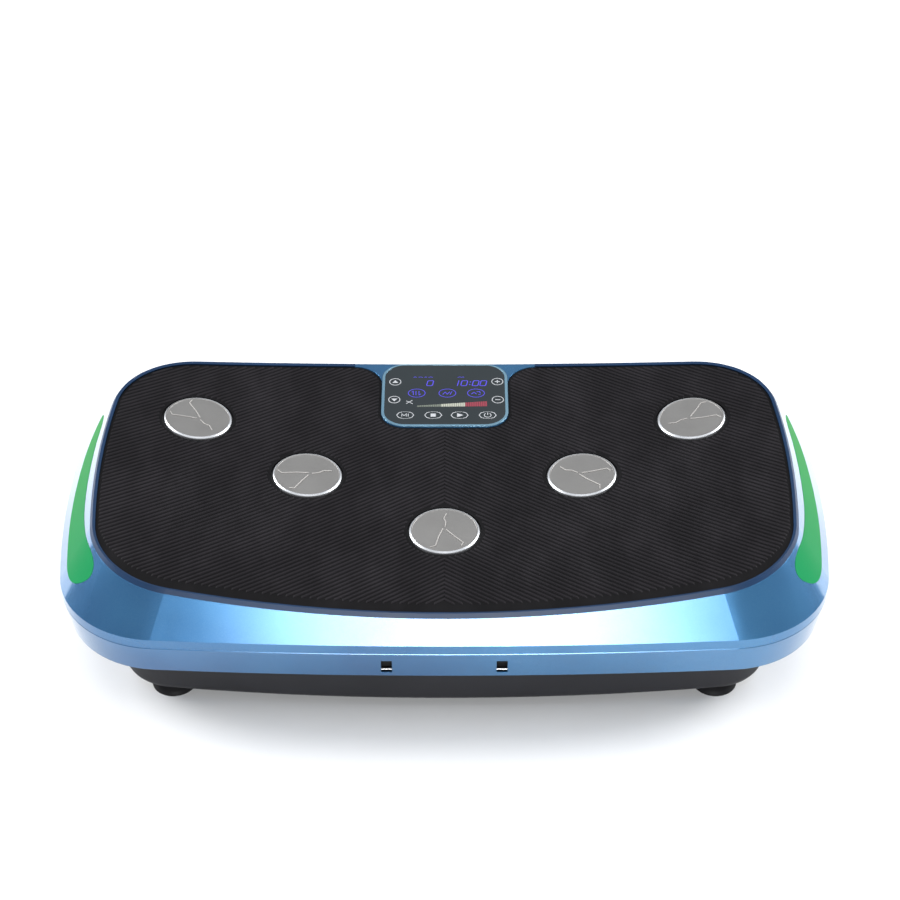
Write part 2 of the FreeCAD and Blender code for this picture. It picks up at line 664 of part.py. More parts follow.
def build_base():
    """Tray, steel plate, feet and the bolts that hold them together."""
    feet_places = four_corners("foot_across", "foot_along")
    tray = new_body("base_shell")
    prism(tray, "Pad", "XY_Plane", "tray_level", "tray_top",
          lambda sketch: bowed_outline(sketch, "tray_half_width", "tray_half_depth",
                                       "tray_side_bow", "tray_front_bow", "tray_corner"))
    dress(tray, "Fillet", "tray_edge", lambda edge: edge.BoundBox.ZMax < value("tray_level + 1"))
    prism(tray, "Pocket", "XY_Plane", "tray_level + tray_floor", "tray_top + 1",
          lambda sketch: bowed_outline(
              sketch, "tray_half_width - tray_wall", "tray_half_depth - tray_wall",
              "tray_side_bow - tray_wall", "tray_front_bow - tray_wall",
              "tray_corner - tray_wall"))
    rounds(tray, "Pocket", "Z", feet_places, "4.5", "tray_level - 1", "plate_top")
    prism(tray, "Pocket", "XZ_Plane", "panel_inner - 6", "panel_face + 6",
          lambda sketch: rectangle(sketch, "panel_left", "panel_right",
                                   "panel_low", "panel_high"))
    node(tray, "base_shell")

    plate = new_body("base_plate")
    box(plate, "Pad", ("-1 * plate_half_width", "plate_half_width"),
        ("-1 * plate_half_depth", "plate_half_depth"), ("plate_level", "plate_top"))
    dress(plate, "Fillet", "plate_corner", upright)
    rounds(plate, "Pocket", "Z", feet_places, "4.5", "tray_level", "plate_top + 1")
    rounds(plate, "Pocket", "Z", block_bolt_places(), "3", "plate_level - 1", "plate_top + 1")
    node(plate, "base_plate")

    feet = []
    for number, (across, along) in enumerate(feet_places, start=1):
        foot = turned("foot_%d" % number, [
            ("4", "6"), ("4", "tray_level"), ("foot_neck", "tray_level"),
            ("foot_neck", "tray_level - 3"), ("foot_radius - 2", "4"), ("foot_radius", "1.6"),
            ("foot_radius", "0"), ("cup_radius + 1.5", "0"), ("cup_radius", "1"),
            ("cup_radius - 3", "cup_depth"), ("0", "cup_depth"), ("0", "6")])
        foot.Placement.Base = FreeCAD.Vector(value(across), value(along), 0)
        feet.append(foot)
    node(together(feet, "suction_feet"), "suction_feet")

    bolts = new_body("foot_bolts")
    rounds(bolts, "Pad", "Z", feet_places, "4", "6", "plate_top")
    rounds(bolts, "Pad", "Z", feet_places, "7", "plate_top", "plate_top + 5")
    rounds(bolts, "Pocket", "Z", feet_places, "3", "plate_top + 2", "plate_top + 6")
    node(bolts, "foot_bolts")


def block_bolt_places():
    """Where the bearing blocks are bolted to the plate."""
    pivots = [("%s * 28" % side, "%s * pivot_along" % end)
              for side in ("1", "-1") for end in ("1", "-1")]
    cranks = [("crank_across + %s * 24" % side, along)
              for side in ("1", "-1") for along in ("-54", "-8")]
    return pivots + cranks


def bearing_block(label, across, level, radius, bore, half_width, front, back, bolts):
    """A pillow block: a foot on the plate and a round housing with a bore along Y."""
    body = new_body(label)
    box(body, "Pad", ("%s - %s" % (across, half_width), "%s + %s" % (across, half_width)),
        (front, back), ("plate_top", "block_foot"))
    box(body, "Pad", ("%s - %s * 0.8" % (across, radius), "%s + %s * 0.8" % (across, radius)),
        (front, back), ("plate_top", level))
    rounds(body, "Pad", "Y", [(across, level)], radius, front, back)
    rounds(body, "Pocket", "Y", [(across, level)], bore, front + " - 1", back + " + 1")
    rounds(body, "Pocket", "Z", bolts, "3", "plate_top - 1", "block_foot + 1")
    node(body, label)


def build_blocks():
    """Pivot blocks, crank blocks, their bushes and bolts."""
    places = block_bolt_places()
    for label, side, bolts in (("pivot_block_front", "-1", (1, 3)),
                               ("pivot_block_rear", "1", (0, 2))):
        middle = "%s * pivot_along" % side
        bearing_block(label, "0", "pivot_level", "block_radius", "bush_radius",
                      "block_half_width", middle + " - block_half", middle + " + block_half",
                      [places[number] for number in bolts])
    for label, front, back, bolts in (("crank_block_front", "-62", "-46", (4, 6)),
                                      ("crank_block_rear", "-16", "0", (5, 7))):
        bearing_block(label, "crank_across", "crank_level", "crank_block_radius",
                      "crank_bush_radius", "30", front, back,
                      [places[number] for number in bolts])

    bushes = new_body("pivot_bushes")
    for side in ("-1", "1"):
        middle = "%s * pivot_along" % side
        span = (middle + " - block_half", middle + " + block_half")
        rounds(bushes, "Pad", "Y", [("0", "pivot_level")], "bush_radius", *span)
        rounds(bushes, "Pocket", "Y", [("0", "pivot_level")], "pin_radius + pin_fit",
               span[0] + " - 1", span[1] + " + 1")
    node(bushes, "pivot_bushes")

    bushes = new_body("crank_bushes")
    for front, back in (("-62", "-46"), ("-16", "0")):
        rounds(bushes, "Pad", "Y", [("crank_across", "crank_level")], "crank_bush_radius",
               front, back)
    rounds(bushes, "Pocket", "Y", [("crank_across", "crank_level")], "shaft_radius + pin_fit",
           "-63", "1")
    node(bushes, "crank_bushes")

    bolts = new_body("block_bolts")
    rounds(bolts, "Pad", "Z", places, "2.9", "plate_level + 0.2", "block_foot")
    rounds(bolts, "Pad", "Z", places, "5", "block_foot", "block_foot + 4")
    rounds(bolts, "Pocket", "Z", places, "2.4", "block_foot + 1.8", "block_foot + 5")
    node(bolts, "block_bolts")


# ---- frame under the deck ---------------------------------------------------------------

def build_frame():
    """Two rails on the rocking pins, the tubes between them, and their fastenings."""
    for label, side in (("front_rail", "-1"), ("rear_rail", "1")):
        middle = "%s * pivot_along" % side
        body = new_body(label)
        box(body, "Pad", ("-1 * rail_half_length", "rail_half_length"),
            (middle + " - rail_half_width", middle + " + rail_half_width"),
            ("rail_level", "rail_top"))
        prism(body, "Pocket", "YZ_Plane", "-1 * rail_half_length - 1", "rail_half_length + 1",
              lambda sketch: rectangle(
                  sketch, middle + " - rail_half_width + rail_wall",
                  middle + " + rail_half_width - rail_wall",
                  "rail_level + rail_wall", "rail_top - rail_wall"))
        for end in ("-1", "1"):
            near = "%s + %s * (block_half + lug_gap)" % (middle, end)
            far = "%s + %s * (block_half + lug_gap + lug_thickness)" % (middle, end)
            low, high = (near, far) if end == "1" else (far, near)
            box(body, "Pad", ("-1 * lug_half_width", "lug_half_width"), (low, high),
                ("pivot_level", "rail_level"))
            rounds(body, "Pad", "Y", [("0", "pivot_level")], "lug_half_width", low, high)
        rounds(body, "Pocket", "Y", [("0", "pivot_level")], "pin_radius",
               middle + " - 24", middle + " + 24")
        rounds(body, "Pocket", "Z", [("100", middle), ("-100", middle), ("290", middle),
                                     ("-290", middle)], "2.6", "rail_level - 1", "rail_top + 1")
        node(body, label)

    tubes = new_body("cross_tubes")
    for low, high in (("cross_inner", "cross_outer"), ("-1 * cross_outer", "-1 * cross_inner")):
        box(tubes, "Pad", (low, high), ("-105", "105"), ("rail_level", "rail_top - 2"))
        box(tubes, "Pocket", (low + " + 2", high + " - 2"), ("-106", "106"),
            ("rail_level + 2", "rail_top - 4"))
    node(tubes, "cross_tubes")

    beams = new_body("rod_beams")
    eye = "crank_across + crank_throw"
    sides = (eye + " - beam_half_width", eye + " + beam_half_width")
    for front, back in (("-105", "rod_front - 5"), ("rod_back + 5", "105")):
        box(beams, "Pad", sides, (front, back), ("beam_level", "beam_top"))
    box(beams, "Pocket", (sides[0] + " + 3", sides[1] + " - 3"), ("10", "106"),
        ("beam_level + 3", "beam_top - 3"))
    rounds(beams, "Pocket", "Y", [(eye, "small_end_level")], "rod_pin_radius", "-54", "-8")
    node(beams, "rod_beams")

    pin = new_body("rod_pin")
    rounds(pin, "Pad", "Y", [(eye, "small_end_level")], "rod_pin_radius", "-54", "-8")
    node(pin, "rod_pin")

    pins = new_body("pivot_pins")
    clips = new_body("pin_clips")
    for side in ("-1", "1"):
        middle = "%s * pivot_along" % side
        reach = "(block_half + lug_gap + lug_thickness)"
        rounds(pins, "Pad", "Y", [("0", "pivot_level")], "pin_radius",
               "%s - %s - 3" % (middle, reach), "%s + %s + 3" % (middle, reach))
        for end in ("-1", "1"):
            near = "%s + %s * (%s + 0.3)" % (middle, end, reach)
            far = "%s + %s * (%s + 1.7)" % (middle, end, reach)
            low, high = (near, far) if end == "1" else (far, near)
            rounds(clips, "Pad", "Y", [("0", "pivot_level")], "pin_radius + 3", low, high)
            rounds(clips, "Pocket", "Y", [("0", "pivot_level")], "pin_radius",
                   low + " - 0.2", high + " + 0.2")
            box(clips, "Pocket", ("-4", "4"), (low + " - 0.2", high + " + 0.2"),
                ("pivot_level - 20", "pivot_level - 8"))
    node(pins, "pivot_pins")
    node(clips, "pin_clips")

    bolts = new_body("frame_bolts")
    places = four_corners("100", "pivot_along") + four_corners("290", "pivot_along")
    rounds(bolts, "Pad", "Z", places, "2.5", "rail_level", "122")
    rounds(bolts, "Pad", "Z", places, "4.6", "rail_level - 3.2", "rail_level")
    rounds(bolts, "Pocket", "Z", places, "2", "rail_level - 4", "rail_level - 1.4")
    node(bolts, "frame_bolts")


def build_buffers():
    """Four stands on the plate, each with a rubber buffer that meets a rail."""
    stands = new_body("buffer_stands")
    for across, along in four_corners("buffer_across", "buffer_along"):
        sides = (across + " - stand_half", across + " + stand_half")
        ends = (along + " - stand_half", along + " + stand_half")
        box(stands, "Pad", sides, ends, ("plate_top", "buffer_level"))
        box(stands, "Pocket", (sides[0] + " + 3", sides[1] + " - 3"),
            (ends[0] + " - 1", ends[1] + " + 1"), ("plate_top + 4", "buffer_level - 4"))
    node(stands, "buffer_stands")

    buffers = new_body("rubber_buffers")
    places = four_corners("buffer_across", "buffer_along")
    rounds(buffers, "Pad", "Z", places, "buffer_radius", "buffer_level", "buffer_level + 9")
    rounds(buffers, "Pad", "Z", places, "buffer_radius - 3", "buffer_level + 9",
           "rail_level - 9")
    rounds(buffers, "Pad", "Z", places, "buffer_radius", "rail_level - 9", "rail_level")
    node(buffers, "rubber_buffers")


# ---- crank, rod, belt and motors --------------------------------------------------------

def build_crank():
    """Crank with its eccentric, the rod it drives, and the bushes at the rod's ends."""
    centre = [("crank_across", "crank_level")]
    lobe = [("crank_across + crank_throw", "crank_level")]
    eye = [("crank_across + crank_throw", "small_end_level")]
    shaft = new_body("crank_shaft")
    rounds(shaft, "Pad", "Y", centre, "shaft_radius", "-66", "30")
    rounds(shaft, "Pad", "Y", lobe, "eccentric_radius", "rod_front - 1", "rod_back + 1")
    node(shaft, "crank_shaft")

    rod = new_body("connecting_rod")
    rounds(rod, "Pad", "Y", lobe, "big_end_radius", "rod_front", "rod_back")
    rounds(rod, "Pad", "Y", eye, "small_end_radius", "rod_front", "rod_back")
    middle = "crank_across + crank_throw"
    box(rod, "Pad", (middle + " - 9", middle + " + 9"), ("rod_front + 3", "rod_back - 3"),
        ("crank_level + 21", "small_end_level - 13.5"))
    rounds(rod, "Pocket", "Y", lobe, "bearing_radius", "rod_front - 1", "rod_back + 1")
    rounds(rod, "Pocket", "Y", eye, "eye_radius", "rod_front - 1", "rod_back + 1")
    node(rod, "connecting_rod")

    bearing = new_body("rod_bearing")
    rounds(bearing, "Pad", "Y", lobe, "bearing_radius", "rod_front", "rod_back")
    rounds(bearing, "Pocket", "Y", lobe, "eccentric_radius + pin_fit",
           "rod_front - 1", "rod_back + 1")
    node(bearing, "rod_bearing")

    bush = new_body("rod_bush")
    rounds(bush, "Pad", "Y", eye, "eye_radius", "rod_front", "rod_back")
    rounds(bush, "Pocket", "Y", eye, "rod_pin_radius + pin_fit", "rod_front - 1",
           "rod_back + 1")
    node(bush, "rod_bush")


def pulley(label, across, level, radius, shaft):
    """A flat belt pulley between two flanges."""
    body = new_body(label)
    spot = [(across, level)]
    rounds(body, "Pad", "Y", spot, radius, "pulley_front", "pulley_back")
    rounds(body, "Pad", "Y", spot, radius + " + flange_rise", "pulley_front",
           "pulley_front + pulley_flange")
    rounds(body, "Pad", "Y", spot, radius + " + flange_rise", "pulley_back - pulley_flange",
           "pulley_back")
    rounds(body, "Pocket", "Y", spot, shaft, "pulley_front - 1", "pulley_back + 1")
    node(body, label)
    return body


def belt_outline(grow):
    """Two arcs and two straight runs round both pulleys."""
    def draw(sketch):
        names = ("motor_across", "motor_level", "crank_across", "crank_level")
        left, left_level, right, right_level = [value(name) for name in names]
        small = value("small_pulley + belt_gap + " + grow)
        big = value("big_pulley + belt_gap + " + grow)
        gap = math.hypot(right - left, right_level - left_level)
        slope = math.atan2(right_level - left_level, right - left)
        spread = math.acos((small - big) / gap)
        near = arc(sketch, (left, left_level), small, slope + spread,
                   slope + 2 * math.pi - spread)
        far = arc(sketch, (right, right_level), big, slope - spread, slope + spread)

        def spot(centre, radius, angle):
            return FreeCAD.Vector(centre[0] + radius * math.cos(angle),
                                  centre[1] + radius * math.sin(angle), 0)
        upper = sketch.addGeometry(Part.LineSegment(
            spot((right, right_level), big, slope + spread),
            spot((left, left_level), small, slope + spread)))
        lower = sketch.addGeometry(Part.LineSegment(
            spot((left, left_level), small, slope - spread),
            spot((right, right_level), big, slope - spread)))
        chain = [far, upper, near, lower]
        for index in range(4):
            pair = (chain[index], 2, chain[(index + 1) % 4], 1)
            sketch.addConstraint(Sketcher.Constraint("Tangent", *pair))
        hold_point(sketch, near, 3, "motor_across", "motor_level")
        hold_point(sketch, far, 3, "crank_across", "crank_level")
        hold(sketch, "Radius", "small_pulley + belt_gap + " + grow, near)
        hold(sketch, "Radius", "big_pulley + belt_gap + " + grow, far)
    return draw


def build_drive():
    """Belt, both pulleys and the drive motor on its cradle."""
    belt = new_body("drive_belt")
    prism(belt, "Pad", "XZ_Plane", "belt_front", "belt_back", belt_outline("belt_thickness"))
    prism(belt, "Pocket", "XZ_Plane", "belt_front - 1", "belt_back + 1", belt_outline("0"))
    node(belt, "drive_belt")
    wheel = pulley("crank_pulley", "crank_across", "crank_level", "big_pulley", "shaft_radius")
    holes = [("crank_across + %.2f" % (19.5 * math.cos(turn * math.pi / 3)),
              "crank_level + %.2f" % (19.5 * math.sin(turn * math.pi / 3)))
             for turn in range(6)]
    rounds(wheel, "Pocket", "Y", holes, "5.5", "pulley_front - 1", "pulley_back + 1")
    pulley("motor_pulley", "motor_across", "motor_level", "small_pulley", "motor_shaft")

    axle = [("motor_across", "motor_level")]
    can = new_body("motor_can")
    rounds(can, "Pad", "Y", axle, "motor_radius", "motor_front", "motor_back")
    rounds(can, "Pocket", "Y", axle, "motor_bore", "motor_front + 5", "motor_back + 1")
    rounds(can, "Pocket", "Y", axle, "motor_shaft + pin_fit", "motor_front - 1",
           "motor_back + 1")
    node(can, "motor_can")

    cap = new_body("motor_end_cap")
    rounds(cap, "Pad", "Y", axle, "motor_radius", "motor_back", "motor_cap_back")
    rounds(cap, "Pad", "Y", axle, "16", "motor_cap_back", "motor_cap_back + 6")
    rounds(cap, "Pocket", "Y", axle, "motor_shaft + pin_fit", "motor_back - 1",
           "motor_cap_back + 7")
    node(cap, "motor_end_cap")

    stator = new_body("motor_stator")
    rounds(stator, "Pad", "Y", axle, "motor_bore", "-85", "-27")
    rounds(stator, "Pocket", "Y", axle, "stator_bore", "-86", "-26")
    node(stator, "motor_stator")

    rotor = new_body("motor_rotor")
    rounds(rotor, "Pad", "Y", axle, "motor_shaft", "-106", "28")
    rounds(rotor, "Pad", "Y", axle, "rotor_radius", "-83", "-29")
    node(rotor, "motor_rotor")

    cradle = new_body("motor_cradle")
    box(cradle, "Pad", ("motor_across - 44", "motor_across + 44"), ("-92", "-20"),
        ("plate_top", "motor_level - 18"))
    rounds(cradle, "Pocket", "Y", axle, "motor_radius", "-93", "-19")
    node(cradle, "motor_cradle")

    straps = new_body("motor_straps")
    for front, back in (("-82", "-68"), ("-46", "-32")):
        rounds(straps, "Pad", "Y", axle, "motor_radius + 1.6", front, back)
        box(straps, "Pad", ("motor_across - 44", "motor_across + 44"), (front, back),
            ("motor_level - 18", "motor_level - 15"))
        rounds(straps, "Pocket", "Y", axle, "motor_radius", front + " - 1", back + " + 1")
        box(straps, "Pocket", ("motor_across - 60", "motor_across + 60"),
            (front + " - 1", back + " + 1"), ("plate_level", "motor_level - 18"))
    node(straps, "motor_straps")


def build_pulse_motor():
    """The small motor under the deck, with a half-round weight on each end of its shaft."""
    axle = [("pulse_across", "pulse_level")]
    can = new_body("pulse_motor_can")
    rounds(can, "Pad", "Y", axle, "pulse_radius", "-1 * pulse_half", "pulse_half")
    rounds(can, "Pocket", "Y", axle, "pulse_bore", "4 - pulse_half", "pulse_half - 4")
    rounds(can, "Pocket", "Y", axle, "pulse_shaft + pin_fit", "-1 * pulse_half - 1",
           "pulse_half + 1")
    node(can, "pulse_motor_can")

    stator = new_body("pulse_stator")
    rounds(stator, "Pad", "Y", axle, "pulse_bore", "-34", "34")
    rounds(stator, "Pocket", "Y", axle, "pulse_stator_bore", "-35", "35")
    node(stator, "pulse_stator")

    hanger = new_body("pulse_motor_bracket")
    box(hanger, "Pad", ("pulse_across - 26", "pulse_across + 26"), ("-105", "105"),
        ("rail_level + 7", "rail_level + 12"))
    box(hanger, "Pad", ("pulse_across - 26", "pulse_across + 26"), ("-40", "40"),
        ("pulse_level", "rail_level + 7"))
    rounds(hanger, "Pocket", "Y", axle, "pulse_radius", "-41", "41")
    node(hanger, "pulse_motor_bracket")

    shaft = new_body("pulse_shaft")
    rounds(shaft, "Pad", "Y", axle, "pulse_shaft", "-1 * weight_far - 2", "weight_far + 2")
    rounds(shaft, "Pad", "Y", axle, "pulse_rotor", "-32", "32")
    node(shaft, "pulse_shaft")

    weights = new_body("pulse_weights")
    for low, high in (("weight_near", "weight_far"), ("-1 * weight_far", "-1 * weight_near")):
        rounds(weights, "Pad", "Y", axle, "weight_radius", low, high)
        box(weights, "Pocket", ("pulse_across - 20", "pulse_across + 20"),
            (low + " - 1", high + " + 1"), ("pulse_level + 7", "pulse_level + 30"))
        rounds(weights, "Pocket", "Y", axle, "pulse_shaft", low + " - 1", high + " + 1")
    node(weights, "pulse_weights")


# ---- electrics --------------------------------------------------------------------------

def build_electrics():
    """Control board, mains filter, rear panel with its socket, and the rocker switch."""
    board = new_body("control_board")
    box(board, "Pad", ("170", "285"), ("-62", "62"), ("34", "35.6"))
    box(board, "Pad", ("178", "202"), ("-54", "10"), ("35.6", "62"))
    box(board, "Pad", ("214", "236"), ("-52", "-24"), ("35.6", "52"))
    box(board, "Pad", ("214", "236"), ("-16", "12"), ("35.6", "52"))
    box(board, "Pad", ("246", "276"), ("-50", "-20"), ("35.6", "56"))
    box(board, "Pad", ("182", "276"), ("46", "58"), ("35.6", "46"))
    rounds(board, "Pad", "Z", [("255", "4"), ("255", "28"), ("228", "30")], "9", "35.6", "60")
    for step in range(5):
        left = 180.5 + 4.4 * step
        box(board, "Pocket", (str(left), str(left + 2.2)), ("-55", "11"), ("42", "63"))
    node(board, "control_board")

    posts = new_body("board_standoffs")
    places = [("176", "-56"), ("279", "-56"), ("176", "56"), ("279", "56")]
    rounds(posts, "Pad", "Z", places, "3.5", "plate_top", "34")
    node(posts, "board_standoffs")

    filter_box = new_body("mains_filter")
    box(filter_box, "Pad", ("140", "190"), ("152", "176"), ("plate_top", "48"))
    dress(filter_box, "Fillet", "2", upright)
    rounds(filter_box, "Pad", "Y", [("150", "38"), ("165", "38"), ("180", "38")], "2.5",
           "176", "181")
    node(filter_box, "mains_filter")

    panel = new_body("power_panel")
    face = ("panel_inner", "panel_face")
    box(panel, "Pad", ("panel_left + 0.1", "panel_right - 0.1"), face,
        ("panel_low + 0.1", "panel_high - 0.1"))
    box(panel, "Pad", ("inlet_across - 14", "inlet_across + 14"), ("184", "panel_face"),
        ("socket_level - 10", "socket_level + 10"))
    box(panel, "Pad", ("switch_across - 12", "switch_across + 12"), ("184", "panel_face"),
        ("socket_level - 8", "socket_level + 8"))
    box(panel, "Pocket", ("inlet_across - 12", "inlet_across + 12"), ("187", "panel_face + 1"),
        ("socket_level - 8", "socket_level + 8"))
    box(panel, "Pocket", ("switch_across - 10", "switch_across + 10"),
        ("190", "panel_face + 1"), ("socket_level - 6", "socket_level + 6"))
    rounds(panel, "Pocket", "Z", [("switch_across", "rocker_along")], "1.5",
           "socket_level - 7.5", "socket_level + 7.5")
    node(panel, "power_panel")

    pins = new_body("inlet_pins")
    for across, level in (("inlet_across", "socket_level + 3"),
                          ("inlet_across - 6", "socket_level - 3"),
                          ("inlet_across + 6", "socket_level - 3")):
        box(pins, "Pad", (across + " - 1", across + " + 1"), ("180", "199"),
            (level + " - 2", level + " + 2"))
    node(pins, "inlet_pins")

    rocker = new_body("power_rocker")
    prism(rocker, "Pad", "XY_Plane", "socket_level - 5.6", "socket_level + 5.6",
          lambda sketch: polygon(sketch, [
              ("-1 * rocker_half", "-3.5"), ("rocker_half", "-3.5"), ("rocker_half", "5"),
              ("0", "3.4"), ("-1 * rocker_half", "5")]))
    rounds(rocker, "Pad", "Z", [("0", "0")], "1.45", "socket_level - 7.2",
           "socket_level + 7.2")
    rocker.setExpression(".Placement.Base.x", bound("switch_across"))
    rocker.setExpression(".Placement.Base.y", bound("rocker_along"))
    rocker.setExpression(".Placement.Rotation.Angle", bound("rocker_tilt"))
    node(rocker, "power_rocker")


# ---- build, check, write ----------------------------------------------------------------

def solid_faults(item):
    """What is wrong with one finished piece, in words, or an empty list."""
    faults = []
    if any(word in ("Invalid", "Error") for word in item.State):
        faults.append("state " + ", ".join(item.State))
    if item.Shape.isNull() or not item.Shape.isValid() or not item.Shape.Solids:
        faults.append("shape is empty or not valid")
    return faults


def cut_socket_back():
    """Let the blades of the socket pass through the back of the panel."""
    panel = [item for item in NODES if item.Label == "power_panel"][0]
    for across, level in (("inlet_across", "socket_level + 3"),
                          ("inlet_across - 6", "socket_level - 3"),
                          ("inlet_across + 6", "socket_level - 3")):
        box(panel, "Pocket", (across + " - 1", across + " + 1"), ("183", "188"),
            (level + " - 2", level + " + 2"))


fill_sheet()
build_shells()
build_lower_shell()
build_discs()
build_display()
build_base()
build_blocks()
build_frame()
build_buffers()
build_crank()
build_drive()
build_pulse_motor()
build_electrics()
cut_socket_back()
doc.recompute()

for thing in doc.Objects:
    if any(word in ("Invalid", "Error") for word in thing.State):
        raise ValueError("%s: %s" % (thing.Label, thing.State))
for thing in NODES:
    problems = solid_faults(thing)
    if problems:
        raise ValueError("%s: %s" % (thing.Label, "; ".join(problems)))
    thing.Shape.exportStep("parts/%s.step" % thing.Label)
    print(thing.Label, len(thing.Shape.Solids), round(thing.Shape.Volume / 1000, 1), "cm3")
print(len(NODES), "pieces written")
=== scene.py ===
import json
import math

import bmesh
import bpy
import numpy as np
from mathutils import Matrix, Vector, geometry


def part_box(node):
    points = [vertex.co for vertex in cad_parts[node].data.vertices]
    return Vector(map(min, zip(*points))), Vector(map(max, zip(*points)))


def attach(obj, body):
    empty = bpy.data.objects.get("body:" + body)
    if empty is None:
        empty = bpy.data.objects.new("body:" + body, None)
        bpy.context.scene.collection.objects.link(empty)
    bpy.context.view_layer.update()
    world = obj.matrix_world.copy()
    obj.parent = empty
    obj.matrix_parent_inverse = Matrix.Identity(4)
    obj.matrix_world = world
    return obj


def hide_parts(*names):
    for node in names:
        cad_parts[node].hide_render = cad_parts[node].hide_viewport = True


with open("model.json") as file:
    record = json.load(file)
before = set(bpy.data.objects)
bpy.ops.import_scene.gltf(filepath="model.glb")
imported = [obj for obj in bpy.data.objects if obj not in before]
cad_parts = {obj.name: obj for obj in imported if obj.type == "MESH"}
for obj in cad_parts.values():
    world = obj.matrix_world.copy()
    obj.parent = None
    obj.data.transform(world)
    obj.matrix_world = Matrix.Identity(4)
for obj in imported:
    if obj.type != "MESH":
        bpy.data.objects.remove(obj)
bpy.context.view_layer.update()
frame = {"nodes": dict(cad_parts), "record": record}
NODES = frame["nodes"]

# Everything is in metres, in the plate's own frame: X across, Y towards the display, Z up.
MM = 0.001
DISH_BOW = 2.203
MAT_LEVEL = 0.129
SKIN_LEVEL = 0.1262
SLOT_ACROSS = 0.0556
SLOT_HALF_WIDTH = 0.0079
SLOT_LIP = -0.2128
EDGE_EASE = 0.8 * MM


def dish(across, level=MAT_LEVEL):
    """Height of the dished deck above a line across the plate."""
    return level + DISH_BOW - math.sqrt(DISH_BOW ** 2 - across ** 2)


# ---- paint mixing -----------------------------------------------------------------------

class Wire:
    """A number, colour or direction inside a material, which can be used in sums."""

    def __init__(self, paint, socket):
        self.paint = paint
        self.socket = socket

    def work(self, operation, *terms):
        """A Math node on these terms, in order."""
        return self.paint.node("Math", {"operation": operation}, dict(enumerate(terms)))

    def __add__(self, other):
        return self.work("ADD", self, other)

    def __radd__(self, other):
        return self.work("ADD", other, self)

    def __sub__(self, other):
        return self.work("SUBTRACT", self, other)

    def __rsub__(self, other):
        return self.work("SUBTRACT", other, self)

    def __mul__(self, other):
        return self.work("MULTIPLY", self, other)

    def __rmul__(self, other):
        return self.work("MULTIPLY", other, self)

    def __lt__(self, other):
        return self.work("LESS_THAN", self, other)

    def __gt__(self, other):
        return self.work("GREATER_THAN", self, other)

    def __abs__(self):
        return self.work("ABSOLUTE", self)

    def sine(self):
        return self.work("SINE", self)

    def root(self):
        return self.work("SQRT", self)

    def clamped(self):
        return self.paint.node("Clamp", {}, {"Value": self})


class Paint:
    def __init__(self, name, lamp=None):
        self.material = lamp or bpy.data.materials.new(name)
        self.material.use_nodes = True
        self.tree = self.material.node_tree
        self.tree.nodes.clear()

    def feed(self, socket, wanted):
        """Set a socket to a plain value, or link a Wire to it."""
        if isinstance(wanted, Wire):
            self.tree.links.new(wanted.socket, socket)
        elif isinstance(wanted, (tuple, list)) and len(wanted) == 3 and socket.type == "RGBA":
            socket.default_value = (*wanted, 1.0)
        else:
            socket.default_value = wanted

    def node(self, kind, settings=None, inputs=None, out=0):
        """Any node: its type, its settings first, then values or Wires for its sockets."""
        item = self.tree.nodes.new("ShaderNode" + kind)
        for name, setting in (settings or {}).items():
            if name == "stops":
                ramp = item.color_ramp
                while len(ramp.elements) < len(setting):
                    ramp.elements.new(1.0)
                for element, (spot, shade) in zip(ramp.elements, setting):
                    element.position = spot
                    element.color = (shade,) * 3 + (1,) if isinstance(shade, float) else (*shade, 1)
            else:
                setattr(item, name, setting)
        for name, wanted in (inputs or {}).items():
            self.feed(item.inputs[name], wanted)
        return Wire(self, item.outputs[out])

    def place(self):
        """Where a point is on the piece, in metres in the plate's frame."""
        return self.node("TexCoord", out="Object")

    def axes(self, place):
        """The three numbers of a place."""
        split = self.node("SeparateXYZ", {}, {"Vector": place})
        others = split.socket.node.outputs
        return split, Wire(self, others[1]), Wire(self, others[2])

    def noise(self, scale, detail=3.0, rough=0.55, place=None, stretch=None):
        """Soft random variation; scale is in lumps per metre."""
        where = place or self.place()
        if stretch:
            where = self.node("VectorMath", {"operation": "MULTIPLY"}, {0: where, 1: stretch})
        return self.node("TexNoise", {"noise_dimensions": "3D"},
                         {"Vector": where, "Scale": scale, "Detail": detail, "Roughness": rough})

    def ramp(self, amount, *stops):
        """A number turned into another number or colour by stops."""
        return self.node("ValToRGB", {"stops": stops}, {"Fac": amount})

    def blend(self, amount, first, second, kind="MIX"):
        """A colour between two others."""
        item = self.tree.nodes.new("ShaderNodeMix")
        item.data_type = "RGBA"
        item.blend_type = kind
        self.feed(item.inputs[0], amount)
        self.feed(item.inputs[6], first)
        self.feed(item.inputs[7], second)
        return Wire(self, item.outputs[2])

    def bump(self, height, depth, strength=1.0, under=None):
        """A surface direction from a height; depth is in metres."""
        inputs = {"Height": height, "Distance": depth, "Strength": strength}
        if under:
            inputs["Normal"] = under
        return self.node("Bump", {}, inputs)

    def eased_edges(self):
        """A surface direction with the sharp edges rounded a little."""
        return self.node("Bevel", {"samples": 4}, {"Radius": EDGE_EASE})

    def finish(self, **sockets):
        """Close the finish with a Principled surface; words are its socket names."""
        surface = self.tree.nodes.new("ShaderNodeBsdfPrincipled")
        for name, wanted in sockets.items():
            self.feed(surface.inputs[name.replace("_", " ")], wanted)
        end = self.tree.nodes.new("ShaderNodeOutputMaterial")
        self.tree.links.new(surface.outputs[0], end.inputs["Surface"])
        return self.material

    def shine(self, colour):
        """Close the glow of a lamp."""
        glow = self.node("Emission", {}, {"Color": colour})
        end = self.tree.nodes.new("ShaderNodeOutputLight")
        self.tree.links.new(glow.socket, end.inputs["Surface"])


